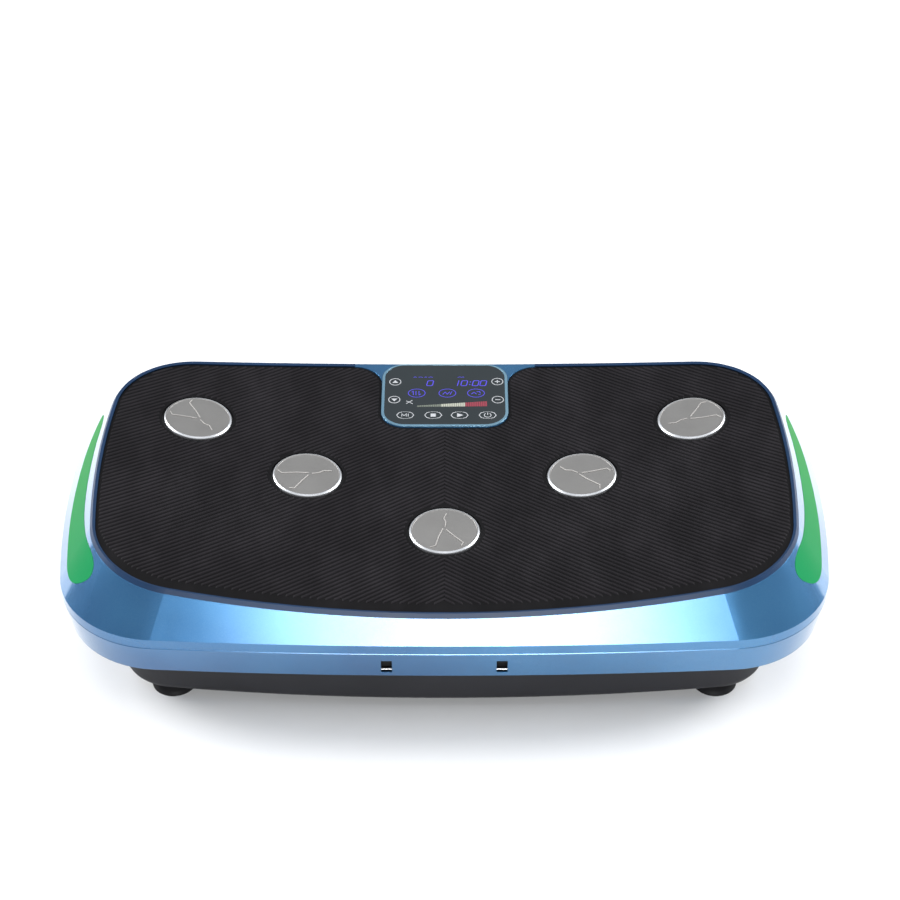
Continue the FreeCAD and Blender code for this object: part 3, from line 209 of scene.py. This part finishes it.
def shade(red, green, blue):
    """A colour as read off a painted sample, 0 to 255, made linear."""
    return tuple(((part / 255 + 0.055) / 1.055) ** 2.4 if part > 10 else part / 3295
                 for part in (red, green, blue))


# ---- finishes ---------------------------------------------------------------------------

def bare_deck_and_slot_shade(paint):
    """1 where the shell shows dark: the unpainted deck below the mat, and inside the band slots,
    where the dark is painted shade.
    """
    across, along, height = paint.axes(paint.place())
    dished = across * across * (0.5 / DISH_BOW) + SKIN_LEVEL
    skin = (height > 0.12) * (height < dished)
    below_mat = skin * (abs(across) < 0.3) * (abs(along) < 0.13)
    # Inside the band slots the lacquer gives way to near black: painted shade in the pockets.
    slot_shade = ((abs(abs(across) - SLOT_ACROSS) < SLOT_HALF_WIDTH)
               * (along > SLOT_LIP) * (along < -0.2))
    return (below_mat + slot_shade * (height < 0.09)).clamped()


def blue_lacquer(name, deep, pale, flake=0.5):
    """Metallic lacquer under a clear coat, with fine flakes and a soft drift in depth."""
    paint = Paint(name)
    bare_and_shaded = bare_deck_and_slot_shade(paint)
    painted = 1.0 - bare_and_shaded
    drift = paint.noise(5.0, 2.0)
    flakes = paint.noise(2400.0, 1.0)
    sparkle = paint.ramp(flakes, (0.45, 0.0), (0.72, 1.0))
    body = paint.blend(paint.ramp(drift, (0.35, 0.0), (0.65, 1.0)), deep, pale)
    colour = paint.blend(sparkle * (0.35 * flake), body, shade(150, 195, 225))
    wear = paint.noise(60.0, 4.0)
    height = flakes * 0.3 + paint.noise(240.0, 2.0) * 0.12
    return paint.finish(
        # Near black where the mask is 1: the bare deck under the mat, and painted shade inside the
        # band slots.
        Base_Color=paint.blend(bare_and_shaded, colour, shade(14, 15, 18)), Metallic=painted * 0.62,
        Roughness=0.20 + wear * 0.08 + bare_and_shaded * 0.4, Coat_Weight=(0.95 + wear * 0.05) * painted,
        Coat_Roughness=0.04, Coat_IOR=1.5,
        Normal=paint.bump(height, 0.04 * MM, 0.35, paint.eased_edges()))


def moulded_plastic(name, colour, rough):
    """Moulded plastic with a fine spark-eroded grain."""
    paint = Paint(name)
    speck = paint.noise(900.0, 3.0)
    patch = paint.noise(18.0, 3.0)
    darker = tuple(part * 0.72 for part in colour)
    tone = paint.blend(paint.ramp(patch, (0.3, 0.0), (0.7, 1.0)), darker, colour)
    return paint.finish(
        Base_Color=paint.blend(speck * 0.25, tone, tuple(min(1, part * 1.7) for part in colour)),
        Roughness=rough + (patch - 0.5) * 0.14 + (speck - 0.5) * 0.1,
        Specular_IOR_Level=0.3, Normal=paint.bump(speck, 0.06 * MM, 0.6))


def rubber(name, colour, rough):
    """Moulded rubber: matt, slightly dusty in random smears."""
    paint = Paint(name)
    speck = paint.noise(1500.0, 4.0)
    smear = paint.noise(26.0, 5.0, stretch=(1.0, 0.5, 1.0))
    dusty = tuple(part * 1.6 + 0.002 for part in colour)
    tone = paint.blend(paint.ramp(smear, (0.42, 0.0), (0.75, 1.0)), colour, dusty)
    return paint.finish(
        Base_Color=tone, Roughness=rough + (smear - 0.5) * 0.2 + (speck - 0.5) * 0.1,
        Specular_IOR_Level=0.12, Normal=paint.bump(speck, 0.08 * MM, 0.5))


def metal(name, colour, rough, stretch=(40.0, 1.0, 1.0), grain=260.0, depth=0.03 * MM):
    """Bare or plated metal with fine drawn lines along its length."""
    paint = Paint(name)
    lines = paint.noise(grain, 3.0, stretch=stretch)
    haze = paint.noise(22.0, 3.0)
    dull = tuple(part * 0.78 for part in colour)
    return paint.finish(
        Base_Color=paint.blend(lines, dull, colour), Metallic=1.0,
        Roughness=rough + (haze - 0.5) * 0.16 + (lines - 0.5) * 0.12,
        Normal=paint.bump(lines, depth, 0.5))


def cast_metal(name, colour, rough, metallic):
    """Cast or powder-coated metal: a fine orange-peel skin."""
    paint = Paint(name)
    pebbles = paint.node("TexVoronoi", {}, {"Vector": paint.place(), "Scale": 420.0})
    cloud = paint.noise(30.0, 4.0)
    dark = tuple(part * 0.7 for part in colour)
    return paint.finish(
        Base_Color=paint.blend(cloud, dark, colour), Metallic=metallic,
        Roughness=rough + (cloud - 0.5) * 0.2,
        Normal=paint.bump(pebbles, 0.12 * MM, 0.4))


def disc_metal(name, places):
    """Satin turned disc: faint rings round each centre and a brighter polished rim."""
    paint = Paint(name)
    across, along, _ = paint.axes(paint.place())
    nearest = 1.0
    for centre_across, centre_along in places:
        side = across - centre_across
        ahead = along - centre_along
        reach = (side * side + ahead * ahead).root()
        nearest = paint.node("Math", {"operation": "MINIMUM"}, {0: nearest, 1: reach})
    turned = paint.noise(900.0, 2.0, place=paint.node("CombineXYZ", {}, {"X": nearest}))
    haze = paint.noise(30.0, 4.0)
    rim = nearest > 0.0332
    face = paint.blend(haze, shade(148, 146, 144), shade(166, 164, 162))
    return paint.finish(
        Base_Color=paint.blend(rim, face, shade(224, 226, 230)), Metallic=0.8,
        Roughness=0.46 + (turned - 0.5) * 0.12 - rim * 0.06,
        Normal=paint.bump(turned, 0.02 * MM, 0.4))


def dark_glass(name):
    """The black touch glass: glossy, with a faint bloom under the surface and finger haze."""
    paint = Paint(name)
    smear = paint.noise(34.0, 5.0, stretch=(1.0, 0.6, 1.0))
    cloud = paint.noise(12.0, 2.0)
    tone = paint.blend(cloud, shade(30, 36, 39), shade(38, 45, 48))
    return paint.finish(
        Base_Color=tone, Roughness=0.16 + (smear - 0.5) * 0.12,
        Coat_Weight=0.85 + smear * 0.1, Coat_Roughness=0.03,
        Normal=paint.bump(smear, 0.01 * MM, 0.2))


def glowing(name, colour, power):
    """A lit symbol under the glass, slightly uneven like a real segment."""
    paint = Paint(name)
    cloud = paint.noise(700.0, 2.0)
    lit = paint.blend(cloud, tuple(part * 0.75 for part in colour), colour)
    return paint.finish(Base_Color=lit, Roughness=0.25 + cloud * 0.1, Emission_Color=lit,
                        Emission_Strength=power, Coat_Weight=0.5 + cloud * 0.2,
                        Coat_Roughness=0.04)


def lens_green(name):
    """Translucent green side lens with fine light-spreading ribs moulded behind it."""
    paint = Paint(name)
    _, along, _ = paint.axes(paint.place())
    ribs = (along * 1400.0).sine() * 0.5 + 0.5
    toward_tip = paint.node("MapRange", {}, {"Value": along, "From Min": -0.15,
                                             "From Max": 0.11, "To Min": 0.0, "To Max": 1.0})
    cloud = paint.noise(14.0, 2.0)
    body = paint.blend(toward_tip, shade(24, 126, 74), shade(36, 130, 52))
    tone = paint.blend(cloud * 0.35, body, shade(18, 110, 66))
    return paint.finish(
        Base_Color=tone, Roughness=0.42 + ribs * 0.08, Emission_Color=tone,
        Emission_Strength=0.14, IOR=1.2, Specular_IOR_Level=0.2,
        Normal=paint.bump(ribs, 0.02 * MM, 0.25))


def circuit_board(name, colour):
    """Solder mask with copper tracks showing faintly through it."""
    paint = Paint(name)
    across, along, _ = paint.axes(paint.place())
    tracks = ((across * 900.0).sine() > 0.75) + ((along * 640.0).sine() > 0.86)
    gate = paint.noise(45.0, 1.0) > 0.52
    copper = (tracks * gate).clamped()
    bright = tuple(min(1, part * 1.9) for part in colour)
    return paint.finish(
        Base_Color=paint.blend(copper, colour, bright), Roughness=0.36 + copper * 0.1,
        Normal=paint.bump(copper, 0.03 * MM, 0.5))


def winding(name, colour):
    """Enamelled wire, wound close."""
    paint = Paint(name)
    _, along, _ = paint.axes(paint.place())
    strands = (along * 5200.0).sine() * 0.5 + 0.5
    dark = tuple(part * 0.4 for part in colour)
    return paint.finish(Base_Color=paint.blend(strands, dark, colour), Metallic=0.8,
                        Roughness=0.3 + strands * 0.1,
                        Normal=paint.bump(strands, 0.3 * MM, 0.6))


DISC_PLACES = [(0.0, -0.079), (0.140, 0.0056), (-0.140, 0.0056), (0.2575, 0.088),
               (-0.2575, 0.088)]

FINISHES = {
    "blue_shell": blue_lacquer("blue_lacquer", shade(32, 86, 136), shade(56, 118, 166)),
    "trim_blue": moulded_plastic("trim_plastic", shade(24, 50, 82), 0.42),
    # One rubber in two tones: the sheet darker and the ribs lighter, a painted highlight on the rib
    # tops where they catch the light.
    "mat_rubber": rubber("mat_rubber", shade(13, 12, 14), 0.66),
    "rib_rubber_painted_light": rubber("rib_rubber_painted_light", shade(30, 28, 31), 0.62),
    "foot_rubber": rubber("foot_rubber", shade(26, 26, 28), 0.5),
    "buffer_rubber": rubber("buffer_rubber", shade(40, 40, 40), 0.6),
    "disc_metal": disc_metal("disc_metal", DISC_PLACES),
    "pale_print": moulded_plastic("pale_print", shade(178, 175, 172), 0.4),
    "display_glass": dark_glass("display_glass"),
    "bezel_light": blue_lacquer("bezel_lacquer", shade(112, 156, 184), shade(142, 184, 206), 0.2),
    "circuit_green": circuit_board("circuit_board", shade(18, 84, 52)),
    "black_plastic": moulded_plastic("tray_plastic", shade(31, 31, 35), 0.46),
    "lens_green": lens_green("lens_green"),
    "led_white": circuit_board("light_strip_board", shade(205, 205, 198)),
    "bright_steel": metal("bright_steel", shade(196, 196, 198), 0.28),
    "frame_steel": cast_metal("frame_steel", shade(52, 53, 56), 0.5, 0.2),
    "cast_block": cast_metal("cast_block", shade(112, 112, 114), 0.6, 0.7),
    "bronze": metal("bearing_bronze", shade(190, 142, 82), 0.3),
    "motor_paint": cast_metal("motor_enamel", shade(96, 100, 104), 0.45, 0.3),
    "copper_winding": winding("copper_winding", shade(196, 112, 60)),
    "alloy": metal("cast_alloy", shade(176, 178, 182), 0.42, (1.0, 1.0, 1.0), 500.0,
                   0.08 * MM),
    "belt_rubber": rubber("belt_rubber", shade(30, 30, 32), 0.7),
}


def dress_nodes():
    """Give every carried-over piece its finish."""
    slots = {row["node"]: row["material_slot"] for row in frame["record"]["subparts"]}
    for name, piece in NODES.items():
        piece.data.materials.clear()
        piece.data.materials.append(FINISHES[slots[name]])


dress_nodes()


# ---- shaping ----------------------------------------------------------------------------

class Mould:
    """Points and faces of one piece, gathered before it is turned out."""

    def __init__(self):
        self.points = []
        self.faces = []
        self.where = Matrix()

    def add(self, points, faces):
        start = len(self.points)
        self.points += [tuple(self.where @ Vector(point)) for point in points]
        self.faces += [[start + corner for corner in face] for face in faces]

    def sweep(self, sections, closed=False):
        """A skin through equal sections, capped at both ends unless it is a ring."""
        size, count = len(sections[0]), len(sections)
        faces = []
        for step in range(count if closed else count - 1):
            here, there = step * size, (step + 1) % count * size
            faces += [(here + side, here + (side + 1) % size,
                       there + (side + 1) % size, there + side) for side in range(size)]
        if not closed:
            faces += [range(size - 1, -1, -1), range((count - 1) * size, count * size)]
        self.add([point for section in sections for point in section], faces)

    def slab(self, outline, low, high):
        """A flat plate between two heights."""
        self.sweep([[(*spot, low) for spot in outline], [(*spot, high) for spot in outline]])

    def stroke(self, path, width, low, high, closed=False):
        """A raised line of one width along a flat path."""
        path = [Vector(spot) for spot in path]
        count, sections = len(path), []
        for step, spot in enumerate(path):
            before = path[step - 1] if step or closed else None
            after = path[(step + 1) % count] if step < count - 1 or closed else None
            runs = [run.normalized() for run in (before and spot - before, after and after - spot)
                    if run]
            aim = sum(runs, Vector((0, 0))).normalized()
            out = Vector((-aim.y, aim.x)) * (width / 2 / max(0.5, aim.dot(runs[0])))
            sections.append([(*(spot - out), low), (*(spot + out), low),
                             (*(spot + out), high), (*(spot - out), high)])
        self.sweep(sections, closed)

    def turn_out(self, name, finish, body, slot, smooth=False):
        """Make the piece, and let it ride on its body."""
        mesh = bpy.data.meshes.new(name)
        mesh.from_pydata(self.points, [], self.faces)
        raw = bmesh.new()
        raw.from_mesh(mesh)
        bmesh.ops.recalc_face_normals(raw, faces=raw.faces)
        raw.to_mesh(mesh)
        raw.free()
        if smooth:
            mesh.shade_smooth()
        mesh.materials.append(finish)
        piece = bpy.data.objects.new(name, mesh)
        bpy.context.scene.collection.objects.link(piece)
        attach(piece, body)
        return piece


def oval(centre, half_across, half_along, start=0.0, stop=360.0, steps=28):
    """Points round an oval, or along part of one between two angles."""
    whole = stop - start >= 360.0
    turns = [math.radians(start + (stop - start) * step / (steps if whole else steps - 1))
             for step in range(steps)]
    return [(centre[0] + half_across * math.cos(turn), centre[1] + half_along * math.sin(turn))
            for turn in turns]


# ---- ribbed foot mat --------------------------------------------------------------------

RIB_RISE = 0.9 * MM
RIB_PITCH = 6.0 * MM
RIB_SLOPE = 0.72
RIB_FOOT = 1.7 * MM
RIB_TOP = 0.95 * MM
RIB_END = 1.5 * MM
MAT_MARGIN = 2.2 * MM
FRONT_BORDER = 13.0 * MM
MAT_DEPTH = 3.9 * MM


def top_rims(name):
    """The rims of a carried-over piece's dished top face, each a ring of (across, along)."""
    copy = bmesh.new()
    copy.from_mesh(NODES[name].data)
    bmesh.ops.remove_doubles(copy, verts=copy.verts, dist=1e-6)
    top = {face for face in copy.faces
           if face.normal.z > 0.9 and all(abs(corner.co.z - dish(corner.co.x)) < 0.2 * MM
                                          for corner in face.verts)}
    beside = {}
    for edge in copy.edges:
        if sum(face in top for face in edge.link_faces) == 1:
            first, second = edge.verts
            beside.setdefault(first, []).append(second)
            beside.setdefault(second, []).append(first)
    rims = []
    while beside:
        here = min(beside, key=lambda corner: corner.index)
        ring = []
        while here is not None:
            ring.append((here.co.x, here.co.y))
            ways = beside.pop(here)
            here = next((corner for corner in ways if corner in beside), None)
        rims.append(ring)
    copy.free()
    return sorted(rims, key=len, reverse=True)


def room_inside(spots, rims):
    """How far each spot lies inside the sheet; negative past its edge or in a hole."""
    spots = np.array(spots)[:, None, :]
    starts = np.concatenate([np.array(ring) for ring in rims])
    run = np.concatenate([np.roll(np.array(ring), -1, axis=0) for ring in rims]) - starts
    part = np.clip(((spots - starts) * run).sum(2) / (run ** 2).sum(1), 0.0, 1.0)
    away = np.linalg.norm(spots - starts - part[..., None] * run, axis=2).min(1)
    rise = np.where(run[:, 1] == 0.0, 1e-12, run[:, 1])
    share = (spots[..., 1] - starts[:, 1]) / rise
    meets = starts[:, 0] + share * run[:, 0]
    crossed = (share >= 0.0) & (share < 1.0) & (spots[..., 0] < meets)
    return np.where(crossed.sum(1) % 2 == 1, away, -away)


def mat_sheet(rims):
    """The rubber sheet under the ribs, dished with the deck and holed for the discs."""
    half_across, half_along = 0.352, 0.21
    grid = [(across, along) for across in np.arange(-half_across, half_across, 13 * MM)
            for along in np.arange(-half_along, half_along, 13 * MM)]
    room = room_inside(grid, rims)
    spots, edges = [], []
    for ring in rims:
        start = len(spots)
        spots += ring
        edges += [(start + step, start + (step + 1) % len(ring)) for step in range(len(ring))]
    spots += [spot for spot, reach in zip(grid, room) if reach > 4 * MM]
    corners, _, faces, *_ = geometry.delaunay_2d_cdt([Vector(spot) for spot in spots], edges,
                                                     [], 0, 1e-7)
    middles = [sum((corners[corner] for corner in face), Vector((0, 0))) / 3 for face in faces]
    kept = [face for face, reach in zip(faces, room_inside(middles, rims)) if reach > 0]
    used = {}
    for face in kept:
        for step in range(3):
            pair = (face[step], face[(step + 1) % 3])
            used[frozenset(pair)] = None if frozenset(pair) in used else pair
    count = len(corners)
    low, high = MAT_LEVEL - MAT_DEPTH, MAT_LEVEL - RIB_RISE
    mould = Mould()
    mould.add([(x, y, dish(x, high)) for x, y in corners]
              + [(x, y, dish(x, low)) for x, y in corners],
              kept + [[corner + count for corner in reversed(face)] for face in kept]
              + [(pair[1], pair[0], pair[0] + count, pair[1] + count)
                 for pair in used.values() if pair])
    piece = mould.turn_out("mat_sheet", FINISHES["mat_rubber"], "platform", "mat_rubber")
    rounding = piece.modifiers.new("rounded_rim", "BEVEL")
    rounding.width = 0.6 * MM
    rounding.segments = 2
    rounding.limit_method = "ANGLE"
    rounding.angle_limit = math.radians(50)
    rounding.use_clamp_overlap = False
    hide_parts("foot_mat")


def mat_ribs(rims):
    """Low chevron ribs moulded on the sheet, left off a smooth border along the front."""
    front = sorted(spot for spot in rims[0] if spot[1] < -0.1)
    across = np.arange(-0.352, 0.3525, 1.0 * MM)
    border = np.interp(across, *zip(*front)) + FRONT_BORDER
    valley = MAT_LEVEL - RIB_RISE
    mould = Mould()
    for peak in np.arange(-0.2, 0.46, RIB_PITCH):
        along = peak - RIB_SLOPE * abs(across)
        near = np.flatnonzero((along > -0.21) & (along < 0.21))
        if not len(near):
            continue
        room = room_inside(np.stack([across[near], along[near]], 1), rims)
        good = near[(room > MAT_MARGIN) & (along[near] > border[near])]
        for run in np.split(good, np.flatnonzero(np.diff(good) > 1) + 1):
            if len(run) > 8:
                rib(mould, peak, across[run[0]], across[run[-1]], valley)
    # The ribs take the lighter copy of the rubber: painted highlight on the rib tops.
    mould.turn_out("mat_ribs", FINISHES["rib_rubber_painted_light"], "platform", "mat_rubber")


def rib(mould, peak, left, right, valley):
    """One rib from left to right, bent where it crosses the middle, its ends run down."""
    inner_left, inner_right = left + RIB_END, right - RIB_END
    steps = max(2, round((inner_right - inner_left) / (12 * MM)))
    inner = [inner_left + (inner_right - inner_left) * step / steps for step in range(steps + 1)]
    if inner_left < 0 < inner_right:
        inner = sorted([spot for spot in inner if abs(spot) > 2 * MM] + [0.0])
    sections = []
    for spot in [left] + inner + [right]:
        along = peak - RIB_SLOPE * abs(spot)
        top = valley + (-0.1 * MM if spot in (left, right) else RIB_RISE)
        sections.append([(spot, along - RIB_FOOT, dish(spot, valley - 0.3 * MM)),
                         (spot, along + RIB_FOOT, dish(spot, valley - 0.3 * MM)),
                         (spot, along + RIB_TOP, dish(spot, top)),
                         (spot, along - RIB_TOP, dish(spot, top))])
    mould.sweep(sections)


MAT_RIMS = top_rims("foot_mat")
mat_sheet(MAT_RIMS)
mat_ribs(MAT_RIMS)


# ---- raised marks on the discs ----------------------------------------------------------

def disc_marks():
    """Three fine strokes standing on each disc, turned a little from disc to disc."""
    corners = [corner.co for corner in NODES["mat_discs"].data.vertices]
    mould = Mould()
    for place, turn in zip(DISC_PLACES, (8, 70, -62, 118, -128)):
        up = Vector((-place[0], 0.0, math.sqrt(DISH_BOW ** 2 - place[0] ** 2))).normalized()
        foot = Vector((*place, dish(place[0])))
        face = max((corner - foot).dot(up) for corner in corners
                   if math.hypot(corner.x - place[0], corner.y - place[1]) < 36 * MM)
        mould.where = (Matrix.Translation(foot + up * face)
                       @ Vector((0, 0, 1)).rotation_difference(up).to_matrix().to_4x4()
                       @ Matrix.Rotation(math.radians(turn), 4, "Z")
                       @ Matrix.Scale(1.2 * MM, 4))
        for path in ([(-1, 2), (-6, -8), (-10, -19), (-15, -20.5)],
                     [(1.5, 0.5), (7, -9), (13, -18), (11, -22)],
                     [(1, 4), (2.5, 10), (1.5, 15), (4.5, 21)]):
            mould.stroke(path, 0.8, -0.1, 0.2)
    mould.turn_out("disc_marks", FINISHES["pale_print"], "platform", "disc_metal")


disc_marks()


# ---- lit symbols of the display ---------------------------------------------------------

GLASS_LOW, GLASS_HIGH = (Vector(corner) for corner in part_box("display_glass"))
SYMBOL_RISE = 0.06


def display_mould():
    """An empty mould in millimetres, centred on the symbols of the display glass."""
    mould = Mould()
    middle = (GLASS_LOW + GLASS_HIGH) / 2
    mould.where = (Matrix.Translation((middle.x + 0.8 * MM, middle.y - 1.3 * MM, GLASS_HIGH.z))
                   @ Matrix.Scale(MM, 4))
    return mould


def draw(mould, paths, width=1.0, shift=(0, 0), closed=False):
    """Thin lines on the glass, moved together."""
    for path in paths:
        mould.stroke([(x + shift[0], y + shift[1]) for x, y in path], width, -0.02,
                     SYMBOL_RISE, closed)


def fill(mould, outline, shift=(0, 0)):
    """A filled shape on the glass."""
    mould.slab([(x + shift[0], y + shift[1]) for x, y in outline], -0.02, SYMBOL_RISE)


def touch_keys():
    """Four round keys at the sides and four keys with brackets along the front, in white."""
    mould = display_mould()
    for spot in ((-54, 24), (-54.5, -8.2), (55.5, 24.6), (55.5, -8.2)):
        draw(mould, [oval((0, 0), 6.0, 6.0)], 0.8, spot, closed=True)
    fill(mould, [(-3.2, -1.8), (3.2, -1.8), (0, 3)], (-54, 24))
    fill(mould, [(3.2, 1.8), (-3.2, 1.8), (0, -3)], (-54.5, -8.2))
    draw(mould, [[(-2.8, 0), (2.8, 0)], [(0, -2.8), (0, 2.8)]], 1.1, (55.5, 24.6))
    draw(mould, [[(-2.8, 0), (2.8, 0)]], 1.1, (55.5, -8.2))
    bracket = [(-3.4, 5.6), (-6.8, 4.2), (-9, 0), (-6.8, -4.2), (-3.4, -5.6)]
    for across in (-42.5, -13.0, 14.8, 44.4):
        for side in (1, -1):
            draw(mould, [[(x * side, y) for x, y in bracket]], 0.8, (across, -35.8))
        draw(mould, [[(-3, 5.9), (3, 5.9)], [(-3, -5.9), (3, -5.9)]], 0.4, (across, -35.8))
    draw(mould, [[(-3.6, -2.4), (-3.6, 2.4), (-1.2, -1), (1.2, 2.4), (1.2, -2.4)],
                 [(3.2, 2.4), (3.2, -2.4)]], 0.8, (-42.5, -35.8))
    fill(mould, [(-2.7, -2.7), (2.7, -2.7), (2.7, 2.7), (-2.7, 2.7)], (-13.0, -35.8))
    fill(mould, [(-2.6, -3.4), (4, 0), (-2.6, 3.4)], (14.8, -35.8))
    draw(mould, [oval((0, 0), 3.6, 3.6, 125, 415, 18)], 0.8, (44.4, -35.8))
    draw(mould, [[(0, 0.6), (0, 4.4)]], 0.8, (44.4, -35.8))
    walker = [[(-3.6, -2.6), (-0.6, 0.4), (2.8, 3.4)], [(-0.6, 0.4), (3.2, -3)],
              [(-3.8, 2.2), (-0.6, 0.4)]]
    draw(mould, walker, 0.8, (-38, -12.8))
    mould.turn_out("touch_keys", KEY_WHITE, "platform", "display_glass")


def read_outs():
    """The level and time figures and the three programme signs, in violet blue."""
    mould = display_mould()
    lean = 0.18

    def figure(paths, across, along):
        draw(mould, [[(x + y * lean, y) for x, y in path] for path in paths], 1.0,
             (across, along))
    nought = [(-2.2, -4.6), (2.2, -4.6), (3.1, -3.4), (3.1, 3.4), (2.2, 4.6), (-2.2, 4.6),
              (-3.1, 3.4), (-3.1, -3.4), (-2.2, -4.6)]
    figure([nought], -16.6, 21.6)
    figure([[(0, -4.8), (0, 4.8)]], 13.4, 21.6)
    for across in (20.0, 32.2, 40.4):
        figure([nought], across, 21.6)
    for along in (19.2, 24.0):
        fill(mould, oval((26.2 + (along - 21.6) * lean, along), 0.8, 0.8, steps=10))
    for across, length in ((-34.5, 3.5), (-29, 4.5), (-22.6, 2.4), (-18.4, 4.6), (13, 4.4),
                           (17.6, 2.2)):
        draw(mould, [[(0, 0), (length * 0.5, 1.0), (length, 0)]], 0.6, (across, 32.2))
    signs = {
        -30.8: [[(-3.6, -3.6), (-3.6, 3.4), (-5.4, 1.6)], [(-0.8, 3.6), (-0.8, -3.6)],
                [(2.4, 3.6), (2.4, -3.4), (4.6, -1.4)]],
        1.9: [[(-5, -2.4), (-2.4, 1.8), (0, -2.0), (2.4, 2.2)], [(2.8, -2.6), (4.8, 2.8)]],
        32.4: [[(-5, -1.8), (-2.2, 1.6), (0.6, -1.8)], [(0.8, 2.2), (3.8, 3), (4.6, -0.4)],
               [(2.4, -2.8), (4.8, -2.8)]],
    }
    for across, sign in signs.items():
        draw(mould, [oval((0, 0), 9.0, 7.4, steps=36)], 0.7, (across, 3.6), closed=True)
        draw(mould, sign, 0.8, (across, 3.6))
    mould.turn_out("read_outs", READ_OUT_BLUE, "platform", "display_glass")


def level_bar():
    """A wedge of small bars: dim at the low end, white in the middle, red at the top."""
    shades = {"level_bar_low": (BAR_DIM, 0, 11), "level_bar_mid": (BAR_WHITE, 11, 22),
              "level_bar_high": (BAR_RED, 22, 32)}
    left, step_across, low = -30.0, 2.32, -21.0
    for name, (finish, first, last) in shades.items():
        mould = display_mould()
        for step in range(first, last):
            start = left + step * step_across
            near, far = (2.0 + 7.0 * (step + end) / 32 for end in (0, 1))
            base = low + step * 0.03
            fill(mould, [(start, base), (start + 1.95, base), (start + 1.95, base + far),
                         (start, base + near)])
        mould.turn_out(name, finish, "platform", "display_glass")


KEY_WHITE = glowing("key_white", shade(172, 174, 178), 0.6)
READ_OUT_BLUE = glowing("read_out_blue", shade(72, 62, 184), 0.9)
BAR_DIM = glowing("bar_dim", shade(112, 118, 108), 0.2)
BAR_WHITE = glowing("bar_white", shade(158, 160, 148), 0.6)
BAR_RED = glowing("bar_red", shade(136, 52, 66), 0.4)
touch_keys()
read_outs()
level_bar()


# ---- studio -----------------------------------------------------------------------------

def softbox(name, spot, aim, size, power, fade=None):
    """A flat soft light turned towards a place; fade is the evenly lit part of its width."""
    lamp = bpy.data.lights.new(name, "AREA")
    lamp.shape = "RECTANGLE"
    lamp.size, lamp.size_y = size
    lamp.energy = power
    if fade:
        paint = Paint(name, lamp)
        across, *_ = paint.axes(paint.node("NewGeometry", out="Parametric"))
        fall = paint.node("MapRange", {"interpolation_type": "SMOOTHSTEP"},
                          {"Value": abs(across - 0.5) * 2.0, "From Min": fade, "From Max": 1.0,
                           "To Min": 1.0, "To Max": 0.0})
        paint.shine(paint.blend(fall, (0, 0, 0), (1, 1, 1)))
    holder = bpy.data.objects.new(name, lamp)
    holder.location = spot
    holder.rotation_euler = (Vector(aim) - Vector(spot)).to_track_quat("-Z", "Y").to_euler()
    bpy.context.scene.collection.objects.link(holder)


def plain_floor():
    """A pale seamless floor, wide enough to fill the view."""
    bpy.ops.mesh.primitive_grid_add(x_subdivisions=8, y_subdivisions=8, size=24.0)
    floor = bpy.context.object
    floor.name = "studio_floor"
    paint = Paint("studio_paper")
    fibre = paint.noise(30.0, 3.0)
    floor.data.materials.append(paint.finish(
        Base_Color=paint.blend(fibre, (0.90, 0.90, 0.90), (0.93, 0.93, 0.93)),
        Roughness=0.85 + fibre * 0.1))


def studio():
    """Floor, lights, background and camera."""
    scene = bpy.context.scene
    plain_floor()
    softbox("top_box", (0.0, 0.3, 2.8), (0, 0.3, 0), (3.6, 3.4), 50)
    softbox("front_box", (0.1, -2.5, 0.95), (0, 0, 0.1), (1.7, 0.9), 80, fade=0.12)
    softbox("left_box", (-1.9, 0.5, 1.0), (-0.55, 0.3, 0.0), (1.0, 0.8), 42)
    softbox("right_box", (1.9, 0.5, 1.0), (0.55, 0.3, 0.0), (1.0, 0.8), 42)
    world = bpy.data.worlds.new("studio_air")
    world.use_nodes = True
    world.node_tree.nodes["Background"].inputs[0].default_value = (0.52, 0.56, 0.60, 1)
    world.node_tree.nodes["Background"].inputs[1].default_value = 0.5
    scene.world = world
    scene.view_settings.view_transform = "Standard"

    camera = bpy.data.cameras.new("studio_camera")
    camera.sensor_width = 36.0
    camera.lens = 97.72
    camera.clip_end = 60.0
    holder = bpy.data.objects.new("studio_camera", camera)
    holder.location = (0.0055, -1.956, 1.6643)
    holder.rotation_euler = (math.radians(90.0 - 37.4), 0.0, 0.0)
    scene.collection.objects.link(holder)
    scene.camera = holder


studio()
